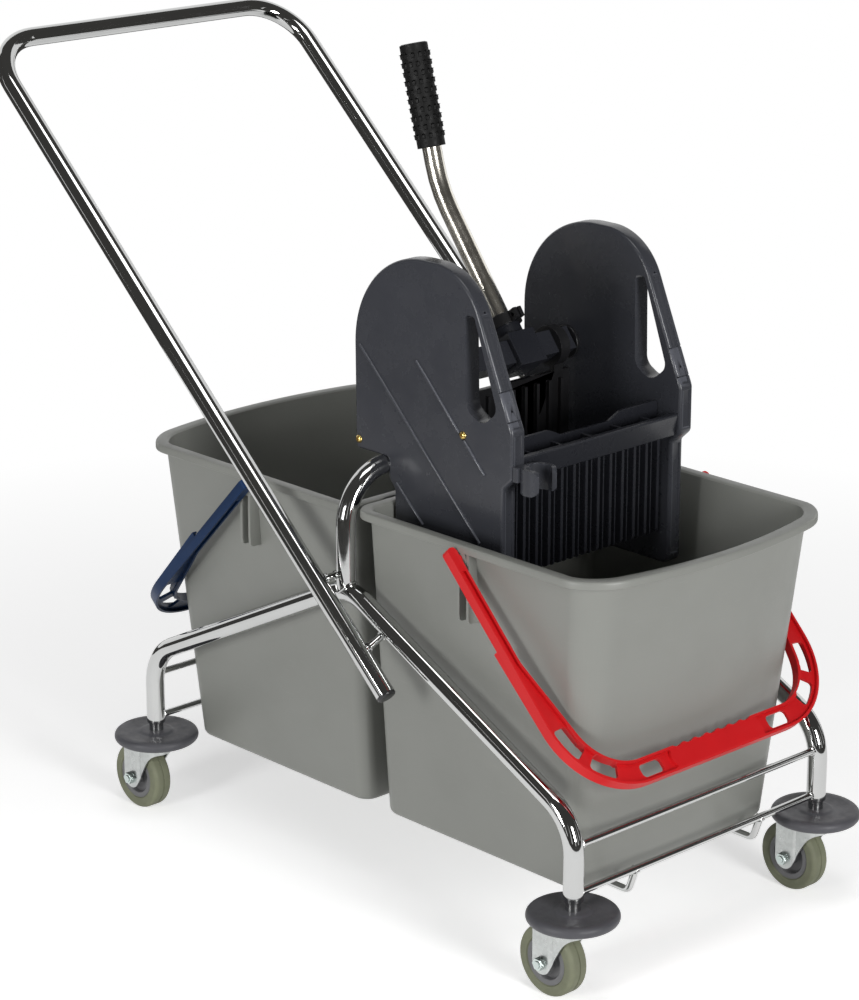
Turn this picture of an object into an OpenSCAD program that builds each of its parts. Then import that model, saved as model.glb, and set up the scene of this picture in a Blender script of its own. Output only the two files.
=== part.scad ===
// Double mop bucket trolley with a press wringer. All sizes are in millimetres.
// The origin is on the floor under the middle of the whole trolley. +X is the front and +Z is up.

/* [Frame] */
// Outside width of the frame tube
tube_d = 22; // [18:0.5:26]
// Wall of the frame tube
tube_wall = 1.5; // [1:0.1:2.5]
// Room between the bucket's outer base end and the rung line
end_room = 23; // [18:1:60]
// How far each side tube's middle stands out from the bucket's rim
side_room = 5; // [3:0.5:20]
// Height of the shoulder corner of the side tubes
shoulder_z = 202; // [185:1:240]
// Height of the peak corner of the side tubes
peak_z = 374; // [330:1:405]
// Bend radius of the side tubes
frame_bend_r = 60; // [40:1:70]
// Height of the hoop's bar above the bucket rims
hoop_over = 39; // [30:1:60]
// Bend radius of the hoop
hoop_bend_r = 60; // [40:1:80]
// Place of the hoop along the trolley, from the middle of the wheelbase
hoop_x = -4; // [-20:1:20]

/* [Rungs and carrying rods] */
// Width of the cross rungs
rung_d = 8; // [6:0.5:12]
// Height of the lower rungs above the ends of the legs
low_rung_up = 7; // [6:0.5:20]
// Height of the upper rungs above the lower rungs
rung_step = 54; // [40:1:70]
// Width of the carrying rods
rod_d = 8; // [6:0.5:12]
// Distance between the two carrying rods
rod_gap = 200; // [140:1:240]
// Drop of the carrying rods below the lower rungs
rod_drop = 28; // [22:0.5:30]
// How far the slanted rod ends run along the trolley
rod_run = 10; // [6:0.5:20]
// Bend radius of the rod ends
rod_bend_r = 9; // [7:0.5:12]

/* [Push handle] */
// How far each handle leg's middle stands out from the side tube's middle
handle_out = 33; // [29:0.5:45]
// Lower end of the handle legs along the trolley
handle_low_x = 95; // [60:1:140]
// Height of the lower ends of the handle legs
handle_low_z = 282; // [265:1:295]
// Upper corner of the handle along the trolley
handle_top_x = -587; // [-680:1:-540]
// Height of the upper corner of the handle
handle_top_z = 901; // [830:1:990]
// Bend radius of the handle
handle_bend_r = 65; // [40:1:90]
// Width of the stub rods that join the handle to the frame
stub_d = 8; // [6:0.5:12]
// Place of the upper stub behind the hoop
high_stub_back = 8; // [0:0.5:10]
// Place of the lower stub along the trolley
low_stub_x = 60; // [50:1:80]
// Depth of the plugs in the handle ends
plug_depth = 14; // [8:1:25]
// Thickness of the plug heads
plug_head = 4; // [2:0.5:8]

/* [Castors] */
// Width across the wheel
wheel_d = 80; // [70:1:95]
// Width of the tyre
tyre_w = 24; // [18:1:30]
// Width across the hub, under the tyre
hub_d = 54; // [46:1:60]
// Gap between the fork cheeks
fork_gap = 32; // [31:0.5:40]
// Thickness of the fork sheet
fork_t = 2.5; // [2:0.1:4]
// Width across the fork crown
crown_d = 46; // [42:1:60]
// Wheel axle width
axle_d = 8; // [6:0.5:10]
// Distance of the axle behind the castor stem
trail = 28; // [20:1:36]
// Width across the bumper discs
disc_d = 100; // [90:1:110]
// Thickness of the bumper discs
disc_t = 13; // [10:0.5:18]
// Gap between the tyre and the fork's crown
fork_over = 9; // [4:0.5:14]
// Width of the castor's swivel pin
stem_d = 12; // [9:0.5:14]
// Height of the collar between the disc and the leg
collar_h = 9.5; // [6:0.5:16]
// Width of the collar
collar_d = 17; // [16:0.5:20]
// Depth of the castor stem in the leg
stem_in = 32; // [20:1:45]

/* [Buckets] */
// Length of a bucket's rim
rim_l = 386; // [360:1:410]
// Width of a bucket's rim
rim_w = 380; // [350:1:420]
// Height of a bucket
bucket_h = 362.7; // [330:0.1:390]
// Height of the rim's edge
rim_h = 9; // [6:0.5:14]
// How far the rim stands out from the wall
rim_over = 12; // [8:0.5:14]
// Rim corner radius at the inner end
rim_r_in = 27; // [22:1:40]
// Rim corner radius at the outer end
rim_r_out = 50; // [36:1:70]
// How far the rim's outer end bows out
rim_bow = 27; // [10:1:36]
// Length of a bucket's base
base_l = 305; // [285:1:320]
// Width of a bucket's base
base_w = 310; // [275:1:340]
// Corner radius of the base
base_r = 20; // [16:1:40]
// How far the base's outer end bows out
base_bow = 8; // [2:1:16]
// Distance of the base from the hoop's middle plane
base_in = 14; // [10:1:30]
// Wall of the buckets
bucket_wall = 3; // [2:0.1:4]
// Gap between the two rims
bucket_gap = 2; // [1:0.1:6]
// Rounding of the base edge
base_edge = 8; // [4:0.5:12]

/* [Bails] */
// Distance of the bail pivots from the hoop's middle plane
pivot_in = 172; // [150:1:200]
// Distance of the bail pivots below the rim
pivot_down = 16; // [13:0.5:24]
// Width of the bail pegs
peg_d = 10; // [8:0.5:12]
// Width of the pivot bosses
boss_d = 20; // [17:0.5:26]
// Gap between the rim's side and the bail's arm
bail_gap = 1.5; // [0.8:0.1:4]
// Width of a bail arm, across the trolley
bail_arm = 12; // [11:0.5:12.5]
// Reach of the bail from its pivot to the outer edge of the grip bar
bail_reach = 296; // [285:1:320]
// Width of the bail's grip bar
bail_bar = 24; // [20:1:34]
// Outer corner radius of the bail
bail_r = 92; // [75:1:105]
// Angle that the bails hang below level, unless they rest against the bucket before that
bail_drop = 46; // [38:1:48]
// Least gap between a hanging bail and the bucket's end
bail_rest = 4; // [2:0.5:10]
// Thickness of the bail's web
bail_web = 5; // [4:0.5:8]
// Height of the bail's edges
bail_edge = 11; // [9:0.5:16]
// Depth of the bail's outer skirt below the edges
bail_skirt = 2; // [1:0.5:10]
// Length of the slots in the bails
bail_slot = 30; // [20:1:34]
// Width of the slots in the bails
bail_slot_w = 12; // [8:0.5:13]
// Half length of the bail's grip
grip_half = 66; // [55:1:72]

/* [Wringer] */
// Gap between the wringer's cheeks
cheek_gap = 240; // [220:1:260]
// Thickness of the cheeks
cheek_t = 20; // [17:0.5:26]
// How far the cheeks reach behind the hoop bar
cheek_back = 46; // [38:1:60]
// Height of the cheeks above the hoop bar
cheek_top = 239; // [215:1:270]
// Top front corner of the cheeks, ahead of the hoop bar
cheek_nose = 129; // [115:1:145]
// Front of the cheeks, ahead of the hoop bar
cheek_front = 199; // [190:1:215]
// Height of the cheeks' front corner above the hoop bar
cheek_chin = 77; // [70:1:85]
// Depth of the cheeks below the hoop bar
cheek_deep = 130; // [115:1:160]
// Height of the front bar
bar_h = 26; // [22:0.5:34]
// Number of grille slats
slats = 16; // [9:1:18]
// Width of a grille slat
slat_w = 4.5; // [4:0.5:6.5]
// Thickness of the grille's panel
panel_t = 4; // [3:0.5:5]
// Thickness of the wringer's floor
floor_t = 4; // [3:0.5:8]
// Width of the drain holes in the floor
drain_d = 9; // [6:0.5:11]
// Width of the cheek screw heads
screw_head = 9; // [7:0.5:12]
// Width of the cheek screw shanks
screw_d = 4.5; // [3:0.5:5.5]
// Inside width of the pole clip
clip_d = 28; // [24:0.5:32]
// Wall of the pole clip
clip_wall = 5; // [4:0.5:7]
// Height of the pole clip
clip_h = 28; // [20:1:36]

/* [Press and lever] */
// Press shaft's place ahead of the hoop bar
shaft_ahead = 26; // [22:1:34]
// Press shaft's height above the hoop bar
shaft_up = 97; // [88:1:108]
// Side of the square press shaft
shaft_sq = 28; // [22:0.5:30]
// Width of the shaft's round ends
journal_d = 22; // [16:0.5:22]
// Width of the bush flanges
bush_d = 38; // [34:1:46]
// Width of the press plate's hubs
press_hub = 46; // [44:0.5:52]
// Distance of the press plate's lower edge below the shaft
press_reach = 172; // [150:1:180]
// Thickness of the press plate
press_t = 7; // [5:0.5:8]
// Place of the lever across the trolley
lever_y = 40; // [-60:1:60]
// Width of the lever tube
lever_d = 22; // [18:0.5:24]
// Wall of the lever tube
lever_wall = 1.5; // [1:0.1:2.5]
// Lean of the lever's lower part
lever_lean = 37; // [28:1:44]
// Lean of the lever's upper part
lever_lean_top = 15; // [8:1:24]
// Distance of the lever's bend from the shaft
lever_bend = 211; // [190:1:235]
// Radius of the lever's bend
lever_bend_r = 150; // [60:5:180]
// Length of the lever's upper part
lever_top_l = 158; // [140:1:190]
// Length of the lever's grip
grip_l = 116; // [95:1:130]
// Width of the lever's grip
grip_d = 30; // [28:0.5:34]
// Width over the grip's knobs
knob_d = 35; // [34.5:0.5:40]

/* [Hidden] */
$fn = 64;
// Gap left where pieces of one body are welded, glued or screwed together
seat = 0.05;
// Running clearance of pins in their bores, on the radius
run = 0.05;
// Gap left where pieces that come apart rest on each other
rest = 0.3;

// Straight runs of bent tube lap into the bends, and the bends are a trace thicker, so that the runs join cleanly
bend_lap = 0.4;
bend_swell = 0.12;

// Castor stack, from the floor up
axle_z = wheel_d / 2;
crown_t = 3;
crown_z = wheel_d + fork_over;
disc_z = crown_z + crown_t + 0.5;
collar_z = disc_z + disc_t + seat;
foot_z = collar_z + collar_h;

// Heights and widths that follow from the sizes above
low_rung_z = foot_z + low_rung_up;
high_rung_z = low_rung_z + rung_step;
rod_z = low_rung_z - rod_drop;
base_z = rod_z + rod_d / 2 + rest;
rim_z = base_z + bucket_h;
flange_z = rim_z - rim_h;
hoop_z = rim_z + hoop_over;
track = rim_w + 2 * side_room;
wheelbase = 2 * (base_in + base_l + end_room + abs(hoop_x));
wheelbase_half = wheelbase / 2;
handle_gap = track + 2 * handle_out;
tube_id = tube_d - 2 * tube_wall;
handle_lean = atan2(handle_low_x - handle_top_x, handle_top_z - handle_low_z);
handle_len = norm([handle_low_x - handle_top_x, handle_top_z - handle_low_z]);
rim_u = bucket_gap / 2;
pivot_z = rim_z - pivot_down;

// The bails hang at bail_drop, or rest sooner, where the grip bar is as near to the bucket's end as bail_rest
function wall_end(z) = mix(base_in + base_l, rim_u + rim_l - rim_over, wall_t(z));
function bail_room(a) =
    let (u = bail_reach - bail_bar, n = -bail_edge / 2)
    pivot_in + u * cos(a) + n * sin(a) - wall_end(pivot_z - u * sin(a) + n * cos(a));
function bail_stop(low, high, steps) =
    let (a = (low + high) / 2)
    steps == 0 ? low
    : bail_room(a) > bail_rest ? bail_stop(a, high, steps - 1)
    : bail_stop(low, a, steps - 1);
bail_hang = bail_room(bail_drop) >= bail_rest ? bail_drop : bail_stop(0, bail_drop, 24);

// The whole trolley is moved so that the origin is at the middle of its length
front_end = max(wheelbase_half + disc_d / 2,
                hoop_x + pivot_in + bail_reach * cos(bail_hang) + bail_edge / 2 * sin(bail_hang));
rear_end = min(handle_top_x - tube_d / 2, -wheelbase_half - disc_d / 2);
box_mid = -(front_end + rear_end) / 2;

module placed() translate([box_mid, 0, 0]) children();

// Turns a drawing so that its x and y become X and Z
module in_xz(y) translate([0, y, 0]) rotate([90, 0, 0]) children();

// Turns a drawing so that its x and y become Y and Z
module in_yz(x) translate([x, 0, 0]) rotate([90, 0, 90]) children();

// A flat shape in X and Z that fills from y0 to y1
module plate_y(y0, y1) translate([0, y1, 0]) rotate([90, 0, 0]) linear_extrude(y1 - y0) children();

// A cylinder along Y from y0 to y1
module bar_y(x, z, d, y0, y1) translate([x, y1, z]) rotate([90, 0, 0]) cylinder(d = d, h = y1 - y0);

// Puts the wringer's drawings on the middle of the hoop bar
module at_bar() translate([hoop_x, 0, hoop_z]) children();

// Both sides of the trolley
module both_sides() {
    children();
    mirror([0, 1, 0]) children();
}

// Points of an arc
function arc(c, r, a0, a1, n) = [for (k = [0 : n]) c + r * [cos(a0 + (a1 - a0) * k / n), sin(a0 + (a1 - a0) * k / n)]];

// A corner of a polygon, rounded with the radius that is its third number
function unit(v) = v / norm(v);
function flat2(p) = [p[0], p[1]];
function short_turn(d) = d > 180 ? d - 360 : d < -180 ? d + 360 : d;
function corner(a, b, c, n) =
    b[2] <= 0 ? [flat2(b)] :
    let (u = unit(flat2(a) - flat2(b)), v = unit(flat2(c) - flat2(b)), half = acos(u * v) / 2)
    let (m = flat2(b) + unit(u + v) * b[2] / sin(half))
    let (p = flat2(b) + u * b[2] / tan(half) - m, q = flat2(b) + v * b[2] / tan(half) - m)
    let (a0 = atan2(p[1], p[0]), turn = short_turn(atan2(q[1], q[0]) - a0))
    arc(m, b[2], a0, a0 + turn, n);
function rounded(c, n = 8) =
    [for (i = [0 : len(c) - 1]) each corner(c[(i + len(c) - 1) % len(c)], c[i], c[(i + 1) % len(c)], n)];

// A rod bent in its own plane; each path point has x, y and its bend radius
function heading(p, q) = atan2(q[1] - p[1], q[0] - p[0]);
function turn_at(path, i) = short_turn(heading(path[i], path[i + 1]) - heading(path[i - 1], path[i]));
function setback(path, i) =
    i == 0 || i == len(path) - 1 ? 0 : path[i][2] * tan(abs(turn_at(path, i)) / 2);
module bent_rod(path, d, over = 0) {
    last = len(path) - 1;
    for (i = [0 : last - 1]) {
        from = setback(path, i) - (i == 0 ? over : bend_lap);
        to = norm(flat2(path[i + 1]) - flat2(path[i])) - setback(path, i + 1) + (i == last - 1 ? over : bend_lap);
        translate([path[i][0], path[i][1], 0])
            rotate([0, 0, heading(path[i], path[i + 1])])
            translate([from, 0, 0])
            rotate([0, 90, 0])
            cylinder(d = d, h = to - from);
    }
    for (i = [1 : last - 1]) {
        turn = turn_at(path, i);
        h = heading(path[i - 1], path[i]);
        side = turn > 0 ? 1 : -1;
        start = flat2(path[i]) - setback(path, i) * [cos(h), sin(h)];
        middle = start + side * path[i][2] * [-sin(h), cos(h)];
        translate([middle[0], middle[1], 0])
            rotate([0, 0, side > 0 ? h - 90 : h + 90 + turn])
            rotate_extrude(angle = abs(turn))
            translate([path[i][2], 0])
            circle(d = d + 2 * bend_swell);
    }
}
module bent_tube(path, d, wall) {
    difference() {
        bent_rod(path, d);
        bent_rod(path, d - 2 * wall, 1);
    }
}

// Side tubes
side_path = [[-wheelbase_half, foot_z, 0], [-wheelbase_half, shoulder_z, frame_bend_r], [0, peak_z, frame_bend_r],
             [wheelbase_half, shoulder_z, frame_bend_r], [wheelbase_half, foot_z, 0]];
function slope_z(x) = peak_z - abs(x) * (peak_z - shoulder_z) / wheelbase_half;
module side_rod(side, grow) in_xz(side * track / 2) bent_rod(side_path, tube_d + 2 * grow);
module side_tube(side) color("silver") in_xz(side * track / 2) bent_tube(side_path, tube_d, tube_wall);
module side_tube_near() side_tube(-1);
module side_tube_far() side_tube(1);

// Hoop: its legs end in the side tubes' peaks
hoop_path = [[-track / 2, slope_z(hoop_x) - 4, 0], [-track / 2, hoop_z, hoop_bend_r],
             [track / 2, hoop_z, hoop_bend_r], [track / 2, slope_z(hoop_x) - 4, 0]];
module hoop_rod(grow) in_yz(hoop_x) bent_rod(hoop_path, tube_d + 2 * grow);
module hoop() {
    color("silver")
    difference() {
        in_yz(hoop_x) bent_tube(hoop_path, tube_d, tube_wall);
        side_rod(-1, seat);
        side_rod(1, seat);
    }
}

// Rungs across the legs
module rung(x, z) {
    color("silver")
    difference() {
        bar_y(x, z, rung_d, -track / 2, track / 2);
        side_rod(-1, seat);
        side_rod(1, seat);
    }
}
module front_upper_rung() rung(wheelbase_half, high_rung_z);
module front_lower_rung() rung(wheelbase_half, low_rung_z);
module rear_upper_rung() rung(-wheelbase_half, high_rung_z);
module rear_lower_rung() rung(-wheelbase_half, low_rung_z);

// Carrying rods: they hang from the lower rungs and the buckets stand on them
rod_path = [[-wheelbase_half, low_rung_z, 0], [rod_run - wheelbase_half, rod_z, rod_bend_r],
            [wheelbase_half - rod_run, rod_z, rod_bend_r], [wheelbase_half, low_rung_z, 0]];
module carrying_rod(side) {
    color("silver")
    difference() {
        in_xz(side * rod_gap / 2) bent_rod(rod_path, rod_d);
        for (x = [-wheelbase_half, wheelbase_half])
            bar_y(x, low_rung_z, rung_d + 2 * seat, -track / 2, track / 2);
    }
}
module carrying_rod_near() carrying_rod(-1);
module carrying_rod_far() carrying_rod(1);

// Push handle, drawn upright and then leaned back
handle_path = [[-handle_gap / 2, 0, 0], [-handle_gap / 2, handle_len, handle_bend_r],
               [handle_gap / 2, handle_len, handle_bend_r], [handle_gap / 2, 0, 0]];
function leg_z(x) = handle_low_z + (handle_low_x - x) / tan(handle_lean);
module leaned() translate([handle_low_x, 0, handle_low_z]) rotate([0, -handle_lean, 0]) children();
module handle_rod(grow) leaned() in_yz(0) bent_rod(handle_path, tube_d + 2 * grow);
module push_handle() color("silver") leaned() in_yz(0) bent_tube(handle_path, tube_d, tube_wall);
module handle_end_plugs() {
    color("black")
    leaned()
    both_sides()
    translate([0, handle_gap / 2, 0]) {
        translate([0, 0, -plug_head - seat]) cylinder(d = tube_d, h = plug_head);
        translate([0, 0, -2 * seat]) cylinder(d = tube_id - 2 * seat, h = plug_depth);
    }
}

// Stub rods from the handle legs to the hoop and to the side tubes
module handle_stubs() {
    high_x = hoop_x - high_stub_back;
    low_y = track / 2;
    low_z0 = slope_z(low_stub_x) - 8;
    low_z1 = leg_z(low_stub_x) + 8;
    color("silver")
    difference() {
        both_sides() {
            bar_y(high_x, leg_z(high_x) + 6, stub_d, track / 2, handle_gap / 2);
            translate([low_stub_x, low_y, low_z0])
                rotate([-atan2(handle_out, low_z1 - low_z0), 0, 0])
                cylinder(d = stub_d, h = norm([handle_out, low_z1 - low_z0]));
        }
        side_rod(-1, seat);
        side_rod(1, seat);
        hoop_rod(seat);
        handle_rod(seat);
    }
}

// Castors: the stems and discs belong to the frame
module each_castor() {
    for (x = [-wheelbase_half, wheelbase_half])
        for (y = [-track / 2, track / 2])
            translate([x, y, 0]) children();
}
module castor_stems() {
    color("gray")
    each_castor() {
        translate([0, 0, foot_z]) cylinder(d = tube_id - 2 * seat, h = stem_in);
        translate([0, 0, collar_z]) cylinder(d = collar_d, h = collar_h - seat);
        translate([0, 0, crown_z - 0.4]) cylinder(d = stem_d, h = foot_z - crown_z + 1);
        translate([0, 0, crown_z - 3.4]) cylinder(d = stem_d + 5, h = 3);
    }
}
module bumper_discs() {
    color("dimgray")
    each_castor()
    difference() {
        translate([0, 0, disc_z])
            union() {
                cylinder(d = disc_d - disc_t, h = disc_t);
                rotate_extrude() translate([disc_d / 2 - disc_t / 2, disc_t / 2]) circle(d = disc_t);
            }
        translate([0, 0, disc_z - 1]) cylinder(d = stem_d + 2 * seat, h = disc_t + 2);
        translate([0, 0, disc_z + disc_t - 2])
            difference() {
                cylinder(d = disc_d * 0.6, h = 3);
                translate([0, 0, -1]) cylinder(d = disc_d * 0.36, h = 5);
            }
    }
}

// Fork, axle, hub and tyre of one castor, about its stem
fork_side = rounded([[-crown_d / 2 + 3, crown_z + crown_t, 2], [crown_d / 2 - 3, crown_z + crown_t, 2],
                     [crown_d / 2 - 8, crown_z - 18, 10], [13 - trail, axle_z - 13, 12],
                     [-13 - trail, axle_z - 13, 12]]);
module fork() {
    color("lightgray")
    difference() {
        union() {
            translate([0, 0, crown_z]) cylinder(d = crown_d, h = crown_t);
            both_sides() plate_y(fork_gap / 2, fork_gap / 2 + fork_t) polygon(fork_side);
        }
        translate([0, 0, crown_z - 1]) cylinder(d = stem_d + 2 * run, h = crown_t + 2);
        bar_y(-trail, axle_z, axle_d + 2 * seat, -fork_gap, fork_gap);
    }
}
module axle_bolt() {
    out = fork_gap / 2 + fork_t + seat;
    color("lightgray") {
        bar_y(-trail, axle_z, axle_d, -out - 7, out + 1);
        translate([-trail, out + 5, axle_z]) rotate([90, 0, 0]) cylinder(d = axle_d * 1.8, h = 5, $fn = 6);
        difference() {
            translate([-trail, -out, axle_z]) rotate([90, 0, 0]) cylinder(d = axle_d * 1.8, h = 6, $fn = 6);
            bar_y(-trail, axle_z, axle_d + 2 * seat, -out - 8, -out + 2);
        }
    }
}
module hub() {
    boss = axle_d / 2 + 5;
    rim_in = hub_d / 2 - 6;
    color("dimgray")
    translate([-trail, 0, axle_z])
    rotate([90, 0, 0])
    rotate_extrude()
    polygon([[axle_d / 2 + run, -fork_gap / 2 + 1], [boss, -fork_gap / 2 + 1], [boss, -4], [rim_in, -4],
             [rim_in, -tyre_w / 2 + 1], [hub_d / 2, -tyre_w / 2 + 1], [hub_d / 2, tyre_w / 2 - 1],
             [rim_in, tyre_w / 2 - 1], [rim_in, 4], [boss, 4], [boss, fork_gap / 2 - 1],
             [axle_d / 2 + run, fork_gap / 2 - 1]]);
}
module tyre() {
    inner = hub_d / 2 + seat;
    outer = wheel_d / 2;
    color("darkslategray")
    translate([-trail, 0, axle_z])
    rotate([90, 0, 0])
    rotate_extrude()
    polygon(concat(
        rounded([[inner, -tyre_w / 2, 0], [outer, -tyre_w / 2, 5], [outer, -1, 0], [outer - 1.2, 0, 0], [outer, 1, 0],
                 [outer, tyre_w / 2, 5], [inner, tyre_w / 2, 0]], 6)));
}
module at_castor(x, y) translate([x * wheelbase_half, y * track / 2, 0]) children();
module fork_front_near() at_castor(1, -1) fork();
module fork_front_far() at_castor(1, 1) fork();
module fork_rear_near() at_castor(-1, -1) fork();
module fork_rear_far() at_castor(-1, 1) fork();
module axle_front_near() at_castor(1, -1) axle_bolt();
module axle_front_far() at_castor(1, 1) axle_bolt();
module axle_rear_near() at_castor(-1, -1) axle_bolt();
module axle_rear_far() at_castor(-1, 1) axle_bolt();
module hub_front_near() at_castor(1, -1) hub();
module hub_front_far() at_castor(1, 1) hub();
module hub_rear_near() at_castor(-1, -1) hub();
module hub_rear_far() at_castor(-1, 1) hub();
module tyre_front_near() at_castor(1, -1) tyre();
module tyre_front_far() at_castor(1, 1) tyre();
module tyre_rear_near() at_castor(-1, -1) tyre();
module tyre_rear_far() at_castor(-1, 1) tyre();

// Buckets: level outlines from the base up the outside, over the rim and down the inside
end_steps = 6;
corner_steps = 6;
function mix(a, b, t) = a + (b - a) * t;
function plan(u0, u1, half, r_in, r_out, bow) =
    let (raw = concat(
        arc([u0 + r_in, r_in - half], r_in, 180, 270, corner_steps),
        arc([u1 - r_out, r_out - half], r_out, 270, 360, corner_steps),
        [for (k = [1 : end_steps]) [u1, (half - r_out) * (2 * k / (end_steps + 1) - 1)]],
        arc([u1 - r_out, half - r_out], r_out, 0, 90, corner_steps),
        arc([u0 + r_in, half - r_in], r_in, 90, 180, corner_steps)))
    [for (p = raw)
        let (w = max(0, (p[0] - (u0 + u1) / 2) / ((u1 - u0) / 2)))
        [p[0] - bow * w * w * p[1] * p[1] / (half * half), p[1]]];
function rim_plan(inset) = plan(rim_u + inset, rim_u + rim_l - inset, rim_w / 2 - inset,
                                rim_r_in - inset, rim_r_out - inset, rim_bow);
function wall_t(z) = (z - base_z) / (flange_z - base_z);
function wall_y(z) = mix(base_w / 2, rim_w / 2 - rim_over, wall_t(z));
function wall_u(z) = mix(base_in, rim_u + rim_over, wall_t(z));
function wall_plan(z, inset) = plan(
    wall_u(z) + inset,
    wall_end(z) - inset,
    wall_y(z) - inset,
    mix(base_r, rim_r_in - rim_over, wall_t(z)) - inset,
    mix(base_r, rim_r_out - rim_over, wall_t(z)) - inset,
    mix(base_bow, rim_bow, wall_t(z)));
function edge_level(a, z0, inset) = [z0 + base_edge * (1 - cos(a)),
    wall_plan(z0 + base_edge * (1 - cos(a)), inset + base_edge * (1 - sin(a)))];
bucket_levels = concat(
    [for (a = [0, 30, 60, 90]) edge_level(a, base_z, 0)],
    [[flange_z, wall_plan(flange_z, 0)],
     [flange_z, rim_plan(0)],
     [rim_z - 2, rim_plan(0)],
     [rim_z, rim_plan(2)],
     [rim_z, rim_plan(rim_over + bucket_wall - 1)],
     [rim_z - 2, rim_plan(rim_over + bucket_wall)],
     [flange_z, wall_plan(flange_z, bucket_wall)]],
    [for (a = [90, 60, 30, 0]) edge_level(a, base_z + bucket_wall, bucket_wall)]);
module loft(levels) {
    n = len(levels[0][1]);
    m = len(levels);
    points = [for (level = levels) each [for (p = level[1]) [p[0], p[1], level[0]]]];
    skin = [for (k = [0 : m - 2]) for (i = [0 : n - 1])
        let (j = (i + 1) % n, a = k * n + i, b = k * n + j, c = (k + 1) * n + j, d = (k + 1) * n + i)
        each [[a, d, c], [a, c, b]]];
    polyhedron(points, concat([[for (i = [0 : n - 1]) i]], skin, [[for (i = [n - 1 : -1 : 0]) (m - 1) * n + i]]));
}
module bucket_rib(u) {
    low = flange_z - 64;
    out = rim_w / 2 - 1;
    translate([u - 4, 0, 0])
        rotate([90, 0, 90])
        linear_extrude(8)
        polygon([[wall_y(low) - 1, low], [out - 4, low], [out, low + 8], [out, flange_z + 1],
                 [wall_y(flange_z) - 1, flange_z + 1]]);
}
module bucket() {
    boss_in = wall_y(pivot_z) - 1;
    difference() {
        union() {
            loft(bucket_levels);
            both_sides() {
                bar_y(pivot_in, pivot_z, boss_d, boss_in, rim_w / 2 - 0.5);
                bucket_rib(pivot_in + boss_d / 2 + 12);
                bucket_rib(pivot_in);
            }
        }
        both_sides() bar_y(pivot_in, pivot_z, peg_d + 2 * run, boss_in + 2, rim_w / 2 + 2);
    }
}
module front_half() translate([hoop_x, 0, 0]) children();
module rear_half() translate([hoop_x, 0, 0]) mirror([1, 0, 0]) children();
module bucket_front() color("gray") front_half() bucket();
module bucket_rear() color("gray") rear_half() bucket();

// Bails: flat drawings, u away from the pivot and v across, then tilted down about the pivots
bail_v = rim_w / 2 + bail_gap;
eye_r = 13;
function bail_outer(in) = rounded([
    [-eye_r, -bail_v - bail_arm + in, 0], [bail_reach - in, -bail_v - bail_arm + in, bail_r - in],
    [bail_reach - in, bail_v + bail_arm - in, bail_r - in], [-eye_r, bail_v + bail_arm - in, 0]], 14);
function bail_inner(out) = rounded([
    [-40, -bail_v - out, 0], [145, -bail_v - out, 60],
    [bail_reach - bail_bar + out, 20 - bail_v - out, bail_r - 26 + out],
    [bail_reach - bail_bar + out, bail_v + out - 20, bail_r - 26 + out],
    [145, bail_v + out, 60], [-40, bail_v + out, 0]], 12);
module bail_ring(out, in) {
    difference() {
        polygon(bail_outer(out));
        polygon(bail_inner(in));
    }
}
module bail_slot_at(u, v, a) {
    translate([u, v, -20])
        rotate([0, 0, a])
        linear_extrude(40)
        union() {
            square([bail_slot - bail_slot_w, bail_slot_w], center = true);
            translate([(bail_slot - bail_slot_w) / 2, 0]) circle(d = bail_slot_w);
            translate([(bail_slot_w - bail_slot) / 2, 0]) circle(d = bail_slot_w);
        }
}
module bail() {
    edge = 3.5;
    arc_u = bail_reach - bail_r;
    arc_v = bail_v + bail_arm - bail_r;
    arc_m = bail_r - bail_bar / 2;
    pitch = 18;
    translate([pivot_in, 0, pivot_z])
    rotate([0, bail_hang, 0]) {
        difference() {
            union() {
                translate([0, 0, -bail_web / 2]) linear_extrude(bail_web) bail_ring(0, 0);
                translate([0, 0, -bail_edge / 2])
                    linear_extrude(bail_edge)
                    difference() {
                        bail_ring(0, 0);
                        bail_ring(edge, edge);
                    }
                translate([0, 0, -bail_edge / 2 - bail_skirt])
                    linear_extrude(bail_skirt + bail_edge / 2)
                    intersection() {
                        difference() {
                            polygon(bail_outer(0));
                            polygon(bail_outer(edge));
                        }
                        translate([110, -300]) square([300, 600]);
                    }
                translate([0, 0, -bail_edge / 2])
                    linear_extrude(bail_edge)
                    intersection() {
                        bail_ring(0, 0);
                        union() {
                            translate([-50, -300]) square([50 + eye_r, 600]);
                            translate([150, -grip_half]) square([200, 2 * grip_half]);
                        }
                    }
            }
            both_sides() {
                bail_slot_at(arc_u + arc_m * sin(18), arc_v + arc_m * cos(18), -18);
                bail_slot_at(arc_u + arc_m * sin(62), arc_v + arc_m * cos(62), -62);
                bail_slot_at(bail_reach - bail_bar / 2, grip_half + 12 + bail_slot / 2, 90);
            }
            for (k = [-3 : 3])
                translate([bail_reach - bail_bar - 9, k * pitch, -20]) cylinder(r = 12, h = 40);
        }
        both_sides() bar_y(0, 0, peg_d, wall_y(pivot_z) + 2, bail_v + 1);
    }
}
module bail_front() color("red") front_half() bail();
module bail_rear() color("navy") rear_half() bail();

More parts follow.
